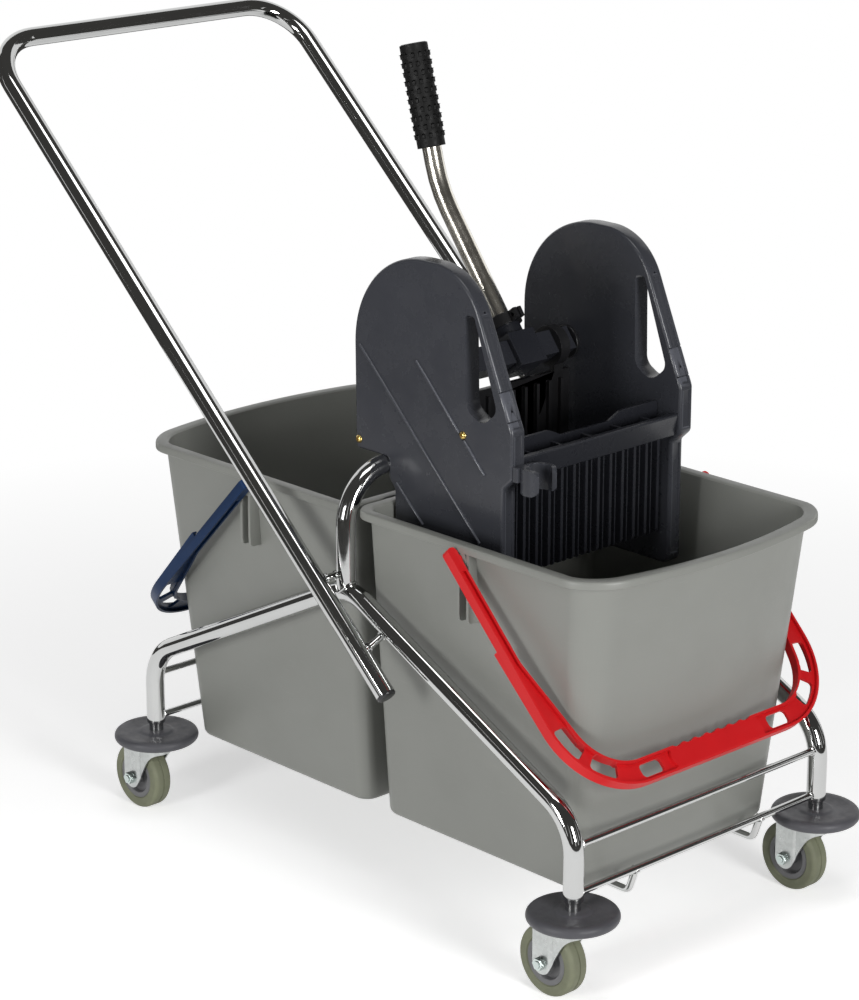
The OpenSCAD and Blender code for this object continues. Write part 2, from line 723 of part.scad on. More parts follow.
// Wringer: everything is placed from the hoop bar that it hangs on
cheek_y = cheek_gap / 2;
low_back = max(wall_u(hoop_z - cheek_deep) + bucket_wall, rim_u + rim_over + bucket_wall + 2) + rest;
cheek_low_front = cheek_front - 13;
cheek_nose_r = 75;
cheek_crown_r = cheek_back + cheek_nose - cheek_nose_r + 8;
cheek_shape = rounded([
    [-cheek_back + 2, 10, 6], [-cheek_back, cheek_top, cheek_crown_r], [cheek_nose, cheek_top, cheek_nose_r],
    [cheek_front, cheek_chin, 12], [cheek_front, 25, 8], [cheek_low_front, 13, 4],
    [cheek_low_front, -cheek_deep, 10], [low_back, -cheek_deep, 10], [low_back, -24, 6],
    [9, -14, 0], [9, 10, 0]], 14);
cheek_slot = rounded([
    [cheek_front - 71, cheek_top - 47, 5], [cheek_front - 57, cheek_top - 47, 5],
    [cheek_front - 22, cheek_chin + 18, 12], [cheek_front - 45, cheek_chin - 1, 16],
    [cheek_front - 69, cheek_chin + 13, 16]], 10);
screw_spots = [[8 - cheek_back, 21], [cheek_front - 73, 60]];
bush_in = 14;
module raised_rib(x0, z0, x1, z1) {
    translate([x0, 0, z0])
        rotate([0, -atan2(z1 - z0, x1 - x0), 0])
        translate([0, cheek_y + cheek_t - 1, -1.5])
        cube([norm([x1 - x0, z1 - z0]), 2.5, 3]);
}
module cheek() {
    difference() {
        union() {
            plate_y(cheek_y, cheek_y + cheek_t)
                difference() {
                    polygon(cheek_shape);
                    polygon(cheek_slot);
                }
            difference() {
                union() {
                    raised_rib(10 - cheek_back, cheek_top - 110, cheek_low_front - 34, -54);
                    raised_rib(54, cheek_top - 111, cheek_front - 40, 23);
                    raised_rib(low_back + 4, -16, low_back + 46, -54);
                }
                for (p = screw_spots)
                    bar_y(p[0], p[1], screw_head + 2, cheek_y + cheek_t - 4, cheek_y + cheek_t + 4);
            }
        }
        bar_y(0, 0, tube_d + 2 * rest, cheek_y - 1, cheek_y + cheek_t + 3);
        bar_y(shaft_ahead, shaft_up, bush_d - 8 + 2 * seat, cheek_y - 1, cheek_y + bush_in);
        for (p = screw_spots)
            bar_y(p[0], p[1], screw_d + 2 * seat, cheek_y + cheek_t - 12, cheek_y + cheek_t + 1);
    }
}
module cheek_far() color("dimgray") at_bar() cheek();
module cheek_near() color("dimgray") at_bar() mirror([0, 1, 0]) cheek();
module cheek_screws() {
    color("goldenrod")
    at_bar()
    both_sides()
    for (p = screw_spots) {
        bar_y(p[0], p[1], screw_d, cheek_y + cheek_t - 11, cheek_y + cheek_t + 1);
        bar_y(p[0], p[1], screw_head, cheek_y + cheek_t + seat, cheek_y + cheek_t + 3);
    }
}
inner_y = cheek_y - seat;
panel_x = cheek_front - 34;
bar_x = cheek_front - 12;
bar_z = 21;
floor_z = 20 - cheek_deep + 15;
module front_bar() {
    color("dimgray")
    at_bar()
    plate_y(-inner_y, inner_y)
    polygon(rounded([[bar_x - 2, bar_z, 1], [bar_x + 5, bar_z, 2], [bar_x + 10, bar_z + bar_h, 2],
                     [bar_x + 1, bar_z + bar_h, 2]], 4));
}
// Front grille: a slotted panel with slats, a dipped top lip and short ribs that reach the front bar
module front_grille() {
    pitch = 2 * (inner_y - 12) / slats;
    lip_z = bar_z + bar_h + 9;
    color("dimgray")
    at_bar()
    difference() {
        union() {
            translate([panel_x - panel_t, -inner_y, floor_z])
                cube([panel_t, 2 * inner_y, lip_z - floor_z]);
            for (k = [0 : slats])
                translate([panel_x - 1, k * pitch - inner_y + 12 - slat_w / 2, floor_z])
                    cube([10, slat_w, bar_z - floor_z - 4]);
            for (k = [-2 : 2])
                translate([panel_x - 1, k * 46 - 2, bar_z + 2])
                    cube([bar_x - panel_x + 2, 4, bar_h - 6]);
        }
        plate_y(-inner_y, inner_y)
            polygon([[bar_x - 2 - seat, bar_z], [bar_x + 1 - seat, bar_z + bar_h], [bar_x + 20, bar_z + bar_h],
                     [bar_x + 20, bar_z]]);
        for (k = [0 : slats - 1])
            translate([panel_x - panel_t - 1, (k + 0.5) * pitch - inner_y + 12 - 3, floor_z + 10])
                cube([panel_t + 2, 6, bar_z - floor_z - 24]);
        translate([panel_x - panel_t - 1, 0, lip_z + 1])
            rotate([90, 0, 90])
            linear_extrude(panel_t + 2)
            polygon([[-50, 0], [-30, -10], [42, -10], [62, 0]]);
    }
}
module wringer_floor() {
    x0 = low_back + 8;
    x1 = panel_x - panel_t - seat;
    color("dimgray")
    at_bar()
    difference() {
        translate([x0, -inner_y, floor_z]) cube([x1 - x0, 2 * inner_y, floor_t]);
        for (i = [0 : 5])
            for (j = [-5 : 5])
                translate([x0 + (i + 0.5) * (x1 - x0) / 6, j * inner_y / 6.3, floor_z - 1])
                    cylinder(d = drain_d, h = floor_t + 2);
    }
}
module rear_wall() {
    x0 = low_back + 2;
    color("dimgray")
    at_bar()
    difference() {
        translate([x0, -inner_y, floor_z]) cube([6 - seat, 2 * inner_y, -floor_z - 16]);
        for (j = [-5 : 5])
            translate([x0 - 1, j * inner_y / 6 - 3, floor_z + 14]) cube([8, 6, -floor_z - 44]);
    }
}
// Pole clip: an open ring with an upright axis, on the front of the near cheek
clip_x = cheek_front + clip_wall + clip_d / 2 + seat;
clip_y = -cheek_y + 1;
clip_z = 13;
module pole_clip() {
    out_r = clip_d / 2 + clip_wall;
    color("dimgray")
    at_bar()
    translate([clip_x, clip_y, clip_z])
    difference() {
        union() {
            cylinder(r = out_r, h = clip_h);
            translate([-out_r, -20, 12]) cube([out_r, 18, clip_h - 12]);
        }
        translate([0, 0, -1]) cylinder(d = clip_d, h = clip_h + 2);
        translate([0, -clip_d * 0.42, -1]) cube([out_r + 5, clip_d * 0.84, clip_h + 2]);
    }
}
module shaft_bushes() {
    color("black")
    at_bar()
    both_sides()
    difference() {
        union() {
            bar_y(shaft_ahead, shaft_up, bush_d, cheek_y - 4, inner_y);
            bar_y(shaft_ahead, shaft_up, bush_d - 8, cheek_y - 4, cheek_y + bush_in - 1);
        }
        bar_y(shaft_ahead, shaft_up, journal_d + 2 * run, cheek_y - 5, cheek_y + bush_in);
    }
}

// Press and lever: they turn together about the press shaft
module at_shaft() at_bar() translate([shaft_ahead, 0, shaft_up]) children();
module square_bar(side, y0, y1) {
    translate([0, y0, 0])
        rotate([0, -lever_lean, 0])
        translate([-side / 2, 0, -side / 2])
        cube([side, y1 - y0, side]);
}
block_y = cheek_y - 5;
module press_shaft() {
    color("black")
    at_shaft() {
        square_bar(shaft_sq, -block_y, block_y);
        bar_y(0, 0, journal_d, -cheek_y - bush_in + 2, cheek_y + bush_in - 2);
    }
}
hub_y = 94;
press_x = 5;
module press_plate() {
    top = press_hub / 2 + 4;
    color("black")
    at_shaft()
    difference() {
        union() {
            both_sides() {
                bar_y(0, 0, press_hub, hub_y - 7, hub_y + 7);
                translate([press_x, hub_y - 7, -top - 1]) cube([press_t, 14, top + 1]);
            }
            translate([press_x, 4 - block_y, -press_reach])
                cube([press_t, 2 * block_y - 8, press_reach - top]);
            for (k = [-5 : 5])
                translate([press_x + press_t - 1, k * 19 - 2, 8 - press_reach]) cube([6, 4, press_reach - top - 16]);
        }
        square_bar(shaft_sq + 2 * seat, -cheek_y, cheek_y);
    }
}
module lever_way() translate([0, lever_y, 0]) rotate([0, -lever_lean, 0]) children();
sleeve_d = lever_d + 12;
module lever_socket() {
    block = shaft_sq + 12;
    color("black")
    at_shaft()
    difference() {
        union() {
            square_bar(block, lever_y - 20, lever_y + 20);
            lever_way() cylinder(d = sleeve_d, h = shaft_sq / 2 + 32);
        }
        square_bar(shaft_sq + 2 * seat, -cheek_y, cheek_y);
        lever_way() translate([0, 0, shaft_sq / 2 + 8]) cylinder(d = lever_d + 2 * seat, h = 60);
    }
}
module lever_collar() {
    ring = sleeve_d + 8;
    color("black")
    at_shaft()
    lever_way()
    translate([0, 0, shaft_sq / 2 + 18])
    difference() {
        union() {
            cylinder(d = ring, h = 12);
            translate([0, -6, 0]) cube([ring / 2 + 10, 12, 12]);
        }
        translate([0, 0, -1]) cylinder(d = sleeve_d + 2 * seat, h = 14);
        translate([0, -1, -1]) cube([ring, 2, 14]);
        translate([ring / 2 + 4, 10, 6]) rotate([90, 0, 0]) cylinder(d = 5, h = 20);
    }
}
lever_foot = shaft_sq / 2 + 8 + seat;
lever_knee = lever_bend * [-sin(lever_lean), cos(lever_lean)];
lever_end = lever_knee + lever_top_l * [-sin(lever_lean_top), cos(lever_lean_top)];
lever_path = [concat(lever_foot * [-sin(lever_lean), cos(lever_lean)], [0]), concat(lever_knee, [lever_bend_r]),
              concat(lever_end, [0])];
module lever_tube() color("silver") at_shaft() in_xz(lever_y) bent_tube(lever_path, lever_d, lever_wall);
module lever_grip() {
    cap = 5;
    rows = 9;
    step = (grip_l - 30) / rows;
    bead = knob_d - grip_d + 3;
    color("black")
    at_shaft()
    translate([lever_end[0], lever_y, lever_end[1]])
    rotate([0, -lever_lean_top, 0])
    difference() {
        union() {
            translate([0, 0, cap - grip_l]) cylinder(d = grip_d, h = grip_l);
            for (k = [0 : rows - 1])
                translate([0, 0, cap - grip_l + 15 + (k + 0.5) * step])
                    rotate_extrude() translate([knob_d / 2 - bead / 2, 0]) circle(d = bead);
        }
        translate([0, 0, -grip_l]) cylinder(d = lever_d + 2 * seat, h = grip_l + seat);
    }
}

placed() side_tube_near();
placed() side_tube_far();
placed() hoop();
placed() front_upper_rung();
placed() front_lower_rung();
placed() rear_upper_rung();
placed() rear_lower_rung();
placed() carrying_rod_near();
placed() carrying_rod_far();
placed() push_handle();
placed() handle_end_plugs();
placed() handle_stubs();
placed() castor_stems();
placed() bumper_discs();
placed() fork_front_near();
placed() fork_front_far();
placed() fork_rear_near();
placed() fork_rear_far();
placed() axle_front_near();
placed() axle_front_far();
placed() axle_rear_near();
placed() axle_rear_far();
placed() hub_front_near();
placed() hub_front_far();
placed() hub_rear_near();
placed() hub_rear_far();
placed() tyre_front_near();
placed() tyre_front_far();
placed() tyre_rear_near();
placed() tyre_rear_far();
placed() bucket_front();
placed() bucket_rear();
placed() bail_front();
placed() bail_rear();
placed() cheek_near();
placed() cheek_far();
placed() cheek_screws();
placed() front_bar();
placed() front_grille();
placed() wringer_floor();
placed() rear_wall();
placed() pole_clip();
placed() shaft_bushes();
placed() press_shaft();
placed() press_plate();
placed() lever_socket();
placed() lever_collar();
placed() lever_tube();
placed() lever_grip();
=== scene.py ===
# %% [markdown]
# # A double mop bucket trolley
# The trolley is a chromed tube frame on four castors. It carries two grey buckets, and a wringer hangs on
# the hoop between them. The construction model already holds every piece at its real size and place. This
# lesson dresses it: each visible piece is modelled again with its bends, lips, rounded edges and moulded
# detail, and gets the finish of its real material.

# %% Load the construction model
from math import atan2, cos, pi, radians, sin, sqrt, tan

import bmesh
import bpy
from mathutils import Matrix, Vector


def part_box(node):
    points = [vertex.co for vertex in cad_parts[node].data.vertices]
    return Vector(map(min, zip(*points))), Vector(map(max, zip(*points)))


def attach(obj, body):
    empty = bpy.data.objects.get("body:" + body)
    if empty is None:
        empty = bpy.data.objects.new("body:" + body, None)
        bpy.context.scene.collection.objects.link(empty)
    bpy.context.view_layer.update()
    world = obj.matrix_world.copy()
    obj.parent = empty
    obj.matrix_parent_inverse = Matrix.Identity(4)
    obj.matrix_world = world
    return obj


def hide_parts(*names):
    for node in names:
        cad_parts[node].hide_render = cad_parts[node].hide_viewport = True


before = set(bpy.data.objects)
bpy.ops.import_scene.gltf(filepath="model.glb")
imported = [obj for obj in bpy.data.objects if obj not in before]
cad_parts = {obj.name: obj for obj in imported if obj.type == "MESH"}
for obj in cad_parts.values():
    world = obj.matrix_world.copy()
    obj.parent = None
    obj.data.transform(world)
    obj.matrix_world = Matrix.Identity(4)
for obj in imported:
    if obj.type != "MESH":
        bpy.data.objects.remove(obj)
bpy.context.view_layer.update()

# %% [markdown]
# ## Places and sizes
# Everything is in metres. Sizes are written in millimetres times MM, and the corners of outlines in plain
# millimetres, which become metres when an outline is drawn. The places come from the construction model: a
# tyre's middle gives its castor, the castors give the legs, and the hoop gives the wringer.

# %% Places that the pieces share
MM = 0.001
CORNERS = ("front_near", "front_far", "rear_near", "rear_far")
TUBE_R = 11 * MM
ROD_R = 4 * MM
BEND_SWELL = 0.12 * MM
TRAIL = 28 * MM


def centre(node):
    low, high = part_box(node)
    return (low + high) / 2


STEM = {corner: centre("tyre_" + corner) + Vector((TRAIL, 0, 0)) for corner in CORNERS}
FRONT_X = STEM["front_near"].x
REAR_X = STEM["rear_near"].x
MID_X = (FRONT_X + REAR_X) / 2
NEAR_Y = STEM["front_near"].y
FAR_Y = STEM["front_far"].y
AXLE_Z = STEM["front_near"].z
FOOT_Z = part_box("side_tube_near")[0].z
HOOP_X = centre("hoop").x
HOOP_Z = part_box("hoop")[1].z - TUBE_R - BEND_SWELL
RIM_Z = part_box("bucket_front")[1].z
BASE_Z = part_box("bucket_front")[0].z
DISC_LOW, DISC_HIGH = (corner.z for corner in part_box("bumper_discs"))
SHAFT = Vector((centre("press_shaft").x, 0, centre("shaft_bushes").z))
print("legs at x", REAR_X, FRONT_X, "and y", NEAR_Y, FAR_Y, "hoop at", HOOP_X, HOOP_Z)

# %% [markdown]
# ## Tools for modelling
# An operator works on everything that is selected, so each helper starts by deselecting all. A mesh is
# opened for editing, its faces are picked by place or direction, and modifiers are applied as soon as they
# are set.


# %% Open, pick and close
def deselect():
    bpy.ops.object.select_all(action="DESELECT")


def make_active(piece):
    deselect()
    piece.select_set(True)
    bpy.context.view_layer.objects.active = piece


def open_mesh(piece, kind="VERT"):
    make_active(piece)
    bpy.ops.object.mode_set(mode="EDIT")
    bpy.ops.mesh.select_mode(type=kind)
    bpy.ops.mesh.select_all(action="SELECT")


def close_mesh():
    bpy.ops.object.mode_set(mode="OBJECT")


def pick_faces(test):
    bpy.ops.mesh.select_mode(type="FACE")
    bpy.ops.mesh.select_all(action="DESELECT")
    mesh = bmesh.from_edit_mesh(bpy.context.edit_object.data)
    chosen = [face for face in mesh.faces if test(face)]
    for face in chosen:
        face.select_set(True)
    bmesh.update_edit_mesh(bpy.context.edit_object.data)
    return len(chosen)


DOUBLE = 0.001 * MM
TINY = 0.02 * MM


def merge_mesh(piece, gap=DOUBLE):
    open_mesh(piece)
    bpy.ops.mesh.remove_doubles(threshold=gap)
    bpy.ops.mesh.normals_make_consistent(inside=False)
    close_mesh()


def merge_flat(piece):
    open_mesh(piece)
    bpy.ops.mesh.dissolve_limited(angle_limit=radians(0.5))
    close_mesh()


# %% Modifiers, copies and places
def apply_modifier(piece, kind, **settings):
    make_active(piece)
    modifier = piece.modifiers.new(kind.lower(), kind)
    for name, value in settings.items():
        setattr(modifier, name, value)
    bpy.ops.object.modifier_apply(modifier=modifier.name)


def smooth(piece, angle=40):
    make_active(piece)
    bpy.ops.object.shade_smooth_by_angle(angle=radians(angle))


def round_edges(piece, width, steps=3, angle=35, clamp=True):
    apply_modifier(piece, "BEVEL", width=width, segments=steps, limit_method="ANGLE",
                   angle_limit=radians(angle), miter_outer="MITER_ARC", use_clamp_overlap=clamp)


def soften(piece, width, steps=3, angle=35):
    round_edges(piece, width, steps, angle)
    merge_mesh(piece, TINY)
    smooth(piece)
    apply_modifier(piece, "WEIGHTED_NORMAL", keep_sharp=True, weight=60)


def discard(*models):
    for model in models:
        bpy.data.objects.remove(model, do_unlink=True)


def carve(piece, tool, way="DIFFERENCE"):
    apply_modifier(piece, "BOOLEAN", operation=way, object=tool, solver="EXACT")
    discard(tool)


def joined(name, pieces):
    make_active(pieces[0])
    for piece in pieces:
        piece.select_set(True)
    bpy.ops.object.join()
    bpy.context.object.name = name
    return bpy.context.object


MIRROR_Y = Matrix.Scale(-1, 4, (0, 1, 0))


def twin(model, name, move=Matrix.Identity(4)):
    copy = bpy.data.objects.new(name, model.data.copy())
    bpy.context.scene.collection.objects.link(copy)
    copy.data.transform(move)
    if move.determinant() < 0:
        copy.data.flip_normals()
    return copy


def settle(piece, body, slot, *nodes, finish=None):
    piece.data.materials.clear()
    piece.data.materials.append(FINISHES[finish or slot])
    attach(piece, body)
    if nodes:
        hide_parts(*nodes)
    print(piece.name, "rides on", body, "with", len(piece.data.polygons), "faces")


# %% [markdown]
# ## Forms that come back
# Four ways of working make nearly all of this trolley. A bent tube is a ring that is extruded along each
# straight and spun round each bend. A turned piece is a profile of single points that is spun once round. A
# plate is a ring of points set on an outline, filled and extruded. A loft is a face that is extruded level
# by level, with each level set on its own outline.


# %% Bent tubes
def bent_tube(name, corners, radius, sides=32, bend_steps=14):
    points = [Vector(corner[:3]) for corner in corners]
    way = (points[1] - points[0]).normalized()
    deselect()
    bpy.ops.mesh.primitive_circle_add(vertices=sides, radius=radius, fill_type="NOTHING", location=points[0],
                                      rotation=way.to_track_quat("Z", "Y").to_euler())
    tube = bpy.context.object
    tube.name = name
    bpy.ops.object.transform_apply()
    open_mesh(tube, "EDGE")
    here = points[0]
    for i in range(1, len(points)):
        last = i == len(points) - 1
        onward = way if last else (points[i + 1] - points[i]).normalized()
        turn = 0 if last else way.angle(onward)
        bend = corners[i][3] if turn > 0.001 else 0
        stop = points[i] - way * bend * tan(turn / 2)
        bpy.ops.mesh.extrude_region_move(TRANSFORM_OT_translate={"value": stop - here})
        here = stop
        if bend:
            axis = way.cross(onward).normalized()
            steps = max(3, round(bend_steps * turn / (pi / 2)))
            # The operator turns clockwise about its axis, so the axis is given reversed
            bpy.ops.mesh.spin(steps=steps, angle=turn, center=stop + axis.cross(way) * bend, axis=-axis)
            here = points[i] + onward * bend * tan(turn / 2)
        way = onward
    bpy.ops.mesh.select_all(action="DESELECT")
    bpy.ops.mesh.select_non_manifold()
    bpy.ops.mesh.fill_holes(sides=0)
    close_mesh()
    merge_mesh(tube)
    return tube


# %% Turned pieces
def turned(name, profile, at=(0, 0, 0), axis=(0, 0, 1), steps=64):
    deselect()
    bpy.ops.mesh.primitive_plane_add(size=MM)
    piece = bpy.context.object
    piece.name = name
    open_mesh(piece)
    bpy.ops.mesh.merge(type="CENTER")
    bpy.ops.transform.translate(value=(profile[0][0], 0, profile[0][1]))
    for (r0, h0), (r1, h1) in zip(profile, profile[1:]):
        bpy.ops.mesh.extrude_vertices_move(TRANSFORM_OT_translate={"value": (r1 - r0, 0, h1 - h0)})
    bpy.ops.mesh.select_all(action="SELECT")
    bpy.ops.mesh.spin(steps=steps, angle=2 * pi, center=(0, 0, 0), axis=(0, 0, 1))
    close_mesh()
    piece.rotation_euler = Vector(axis).to_track_quat("Z", "Y").to_euler()
    piece.location = at
    bpy.ops.object.transform_apply()
    merge_mesh(piece)
    return piece


# %% Outlines and plates
def rounded(corners, steps=10, shortest=0.0):
    outline = []
    for i, (x, y, radius) in enumerate(corners):
        here = Vector((x, y))
        back = (Vector(corners[i - 1][:2]) - here).normalized()
        ahead = (Vector(corners[(i + 1) % len(corners)][:2]) - here).normalized()
        if radius <= 0:
            outline.append(here * MM)
            continue
        half = back.angle(ahead) / 2
        middle = here + (back + ahead).normalized() * radius / sin(half)
        first = here + back * radius / tan(half) - middle
        last = here + ahead * radius / tan(half) - middle
        sweep = atan2(first.x * last.y - first.y * last.x, first.dot(last))
        parts = steps if not shortest else max(1, min(steps, int(abs(sweep) * radius / shortest)))
        for k in range(parts + 1):
            outline.append((middle + Matrix.Rotation(sweep * k / parts, 2) @ first) * MM)
    return outline


def across(a, b, depth):
    return Vector((a, depth, b))


def flat(a, b, depth):
    return Vector((a, b, depth))


def lengthways(a, b, depth):
    return Vector((depth, a, b))


def ring_face(name, points):
    deselect()
    bpy.ops.mesh.primitive_circle_add(vertices=len(points), radius=MM, fill_type="NGON")
    piece = bpy.context.object
    piece.name = name
    for vertex, point in zip(piece.data.vertices, points):
        vertex.co = point
    open_mesh(piece, "FACE")
    return piece


def plate(name, outline, place, start, stop):
    piece = ring_face(name, [place(a, b, start) for a, b in outline])
    rise = place(0, 0, stop) - place(0, 0, start)
    bpy.ops.mesh.extrude_region_move(TRANSFORM_OT_translate={"value": rise})
    close_mesh()
    merge_mesh(piece)
    return piece


def peg(name, radius, at, to, steps=32):
    way = Vector(to) - Vector(at)
    return turned(name, [(0, 0), (radius, 0), (radius, way.length), (0, way.length)], at, way, steps)


# %% Lofts and rounded copies
def loft(name, levels):
    piece = ring_face(name, levels[0])
    for before, after in zip(levels, levels[1:]):
        bpy.ops.mesh.extrude_region_move()
        mesh = bmesh.from_edit_mesh(piece.data)
        new = {tuple(round(x, 6) for x in old): point for old, point in zip(before, after)}
        for vertex in mesh.verts:
            if vertex.select:
                vertex.co = new[tuple(round(x, 6) for x in vertex.co)]
        bmesh.update_edit_mesh(piece.data)
    close_mesh()
    merge_mesh(piece)
    return piece


def softened_copy(node, name, width):
    piece = twin(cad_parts[node], name)
    merge_mesh(piece)
    merge_flat(piece)
    soften(piece, width, 2)
    return piece


# %% [markdown]
# ## Finishes
# Each finish is a graph of nodes on Object coordinates, so a pattern keeps its scale on every piece. All of
# them share three things that real surfaces have: a slow drift of colour, an uneven gloss and a fine
# relief. On top of that, each finish gets what marks its own material, such as smudges on chrome or pale
# scuffs on moulded plastic. Several plastics and the rubber discs also get lighter edges, partly rubbed
# wear and partly a painted highlight, and a darker copy of the wringer plastic paints shade on some pieces.


# %% Node helpers
def add(finish, kind, inputs, **settings):
    node = finish.node_tree.nodes.new(kind)
    for name, value in settings.items():
        setattr(node, name, value)
    for name, value in inputs.items():
        if isinstance(value, bpy.types.NodeSocket):
            finish.node_tree.links.new(value, node.inputs[name])
        else:
            node.inputs[name].default_value = value
    return node


def noise(finish, where, scale, detail=4.0, roughness=0.55):
    return add(finish, "ShaderNodeTexNoise",
               {"Vector": where, "Scale": scale, "Detail": detail, "Roughness": roughness}).outputs["Fac"]


def spread(finish, value, low, high, from_low=0.35, from_high=0.65):
    return add(finish, "ShaderNodeMapRange",
               {"Value": value, "From Min": from_low, "From Max": from_high, "To Min": low, "To Max": high},
               ).outputs["Result"]


def tint(finish, share, one, other):
    return add(finish, "ShaderNodeMix", {0: share, 6: one, 7: other}, data_type="RGBA").outputs[2]


def shade(colour, factor):
    return tuple(min(1.0, channel * factor) for channel in colour) + (1.0,)


def stretched(finish, where, scale):
    return add(finish, "ShaderNodeMapping", {"Vector": where, "Scale": scale}).outputs["Vector"]


# %% The shared base of all finishes
def base_finish(name, colour, gloss, drift=0.08, drift_scale=14.0, relief_scale=900.0, relief=0.1,
                depth=0.15 * MM, metallic=0.0, worn=None, clean_sides=False, scuffs=0.0):
    finish = bpy.data.materials.new(name)
    finish.use_nodes = True
    shader = finish.node_tree.nodes["Principled BSDF"]
    where = add(finish, "ShaderNodeTexCoord", {}).outputs["Object"]
    slow = noise(finish, where, drift_scale)
    hue = tint(finish, spread(finish, slow, 0, 1), shade(colour, 1 - drift), shade(colour, 1 + drift))
    if scuffs:
        lines = noise(finish, stretched(finish, where, (40, 40, 700)), 1.0, 2.0)
        marks = spread(finish, lines, 0, scuffs, 0.66, 0.78)
        hue = tint(finish, marks, hue, shade(colour, 1.7))
    # Edges are lightened by their pointiness: partly rubbed wear, partly a painted highlight along edges and
    # ribs.
    if worn:
        surface = add(finish, "ShaderNodeNewGeometry", {})
        share = spread(finish, surface.outputs["Pointiness"], 0, 0.7, 0.53, 0.62)
        # The painted edge highlight is kept off the flat sides that face across the trolley.
        if clean_sides:
            parts = add(finish, "ShaderNodeSeparateXYZ", {"Vector": surface.outputs["Normal"]})
            side = add(finish, "ShaderNodeMath", {0: parts.outputs["Y"]}, operation="ABSOLUTE").outputs[0]
            off_side = spread(finish, side, 1, 0, 0.95, 0.99)
            share = add(finish, "ShaderNodeMath", {0: share, 1: off_side}, operation="MULTIPLY").outputs[0]
        hue = tint(finish, share, hue, worn + (1.0,))
    finish.node_tree.links.new(hue, shader.inputs["Base Color"])
    patches = noise(finish, where, drift_scale * 3.3, 6.0, 0.65)
    finish.node_tree.links.new(spread(finish, patches, gloss[0], gloss[1]), shader.inputs["Roughness"])
    grain = noise(finish, where, relief_scale, 3.0)
    bump = add(finish, "ShaderNodeBump", {"Strength": relief, "Distance": depth, "Height": grain})
    finish.node_tree.links.new(bump.outputs["Normal"], shader.inputs["Normal"])
    shader.inputs["Metallic"].default_value = metallic
    return finish, shader


# %% Metal finishes
def bright_chrome(name, colour, gloss=(0.03, 0.09)):
    return base_finish(name, colour, gloss, drift=0.03, drift_scale=9.0, relief_scale=60.0, relief=0.03,
                       depth=0.3 * MM, metallic=1.0)[0]


def zinc_plate():
    colour = (0.55, 0.57, 0.56)
    finish, shader = base_finish("zinc_steel", colour, (0.24, 0.4), drift=0.07, drift_scale=30.0,
                                 relief_scale=700.0, relief=0.12, metallic=1.0)
    where = finish.node_tree.nodes["Texture Coordinate"].outputs["Object"]
    spangle = add(finish, "ShaderNodeTexVoronoi", {"Vector": where, "Scale": 260.0}).outputs["Color"]
    grey = add(finish, "ShaderNodeRGBToBW", {"Color": spangle}).outputs["Val"]
    hue = shader.inputs["Base Color"].links[0].from_socket
    flecked = tint(finish, spread(finish, grey, 0.0, 0.35, 0.2, 0.8), hue, shade(colour, 0.72))
    finish.node_tree.links.new(flecked, shader.inputs["Base Color"])
    return finish


def yellow_brass():
    return base_finish("brass", (0.72, 0.52, 0.17), (0.2, 0.36), drift=0.1, drift_scale=120.0, relief=0.08,
                       metallic=1.0)[0]


# %% Plastic and rubber finishes
def moulded(name, colour, gloss, shine=0.5, **more):
    finish, shader = base_finish(name, colour, gloss, **more)
    shader.inputs["IOR"].default_value = 1.5
    shader.inputs["Specular IOR Level"].default_value = shine
    return finish


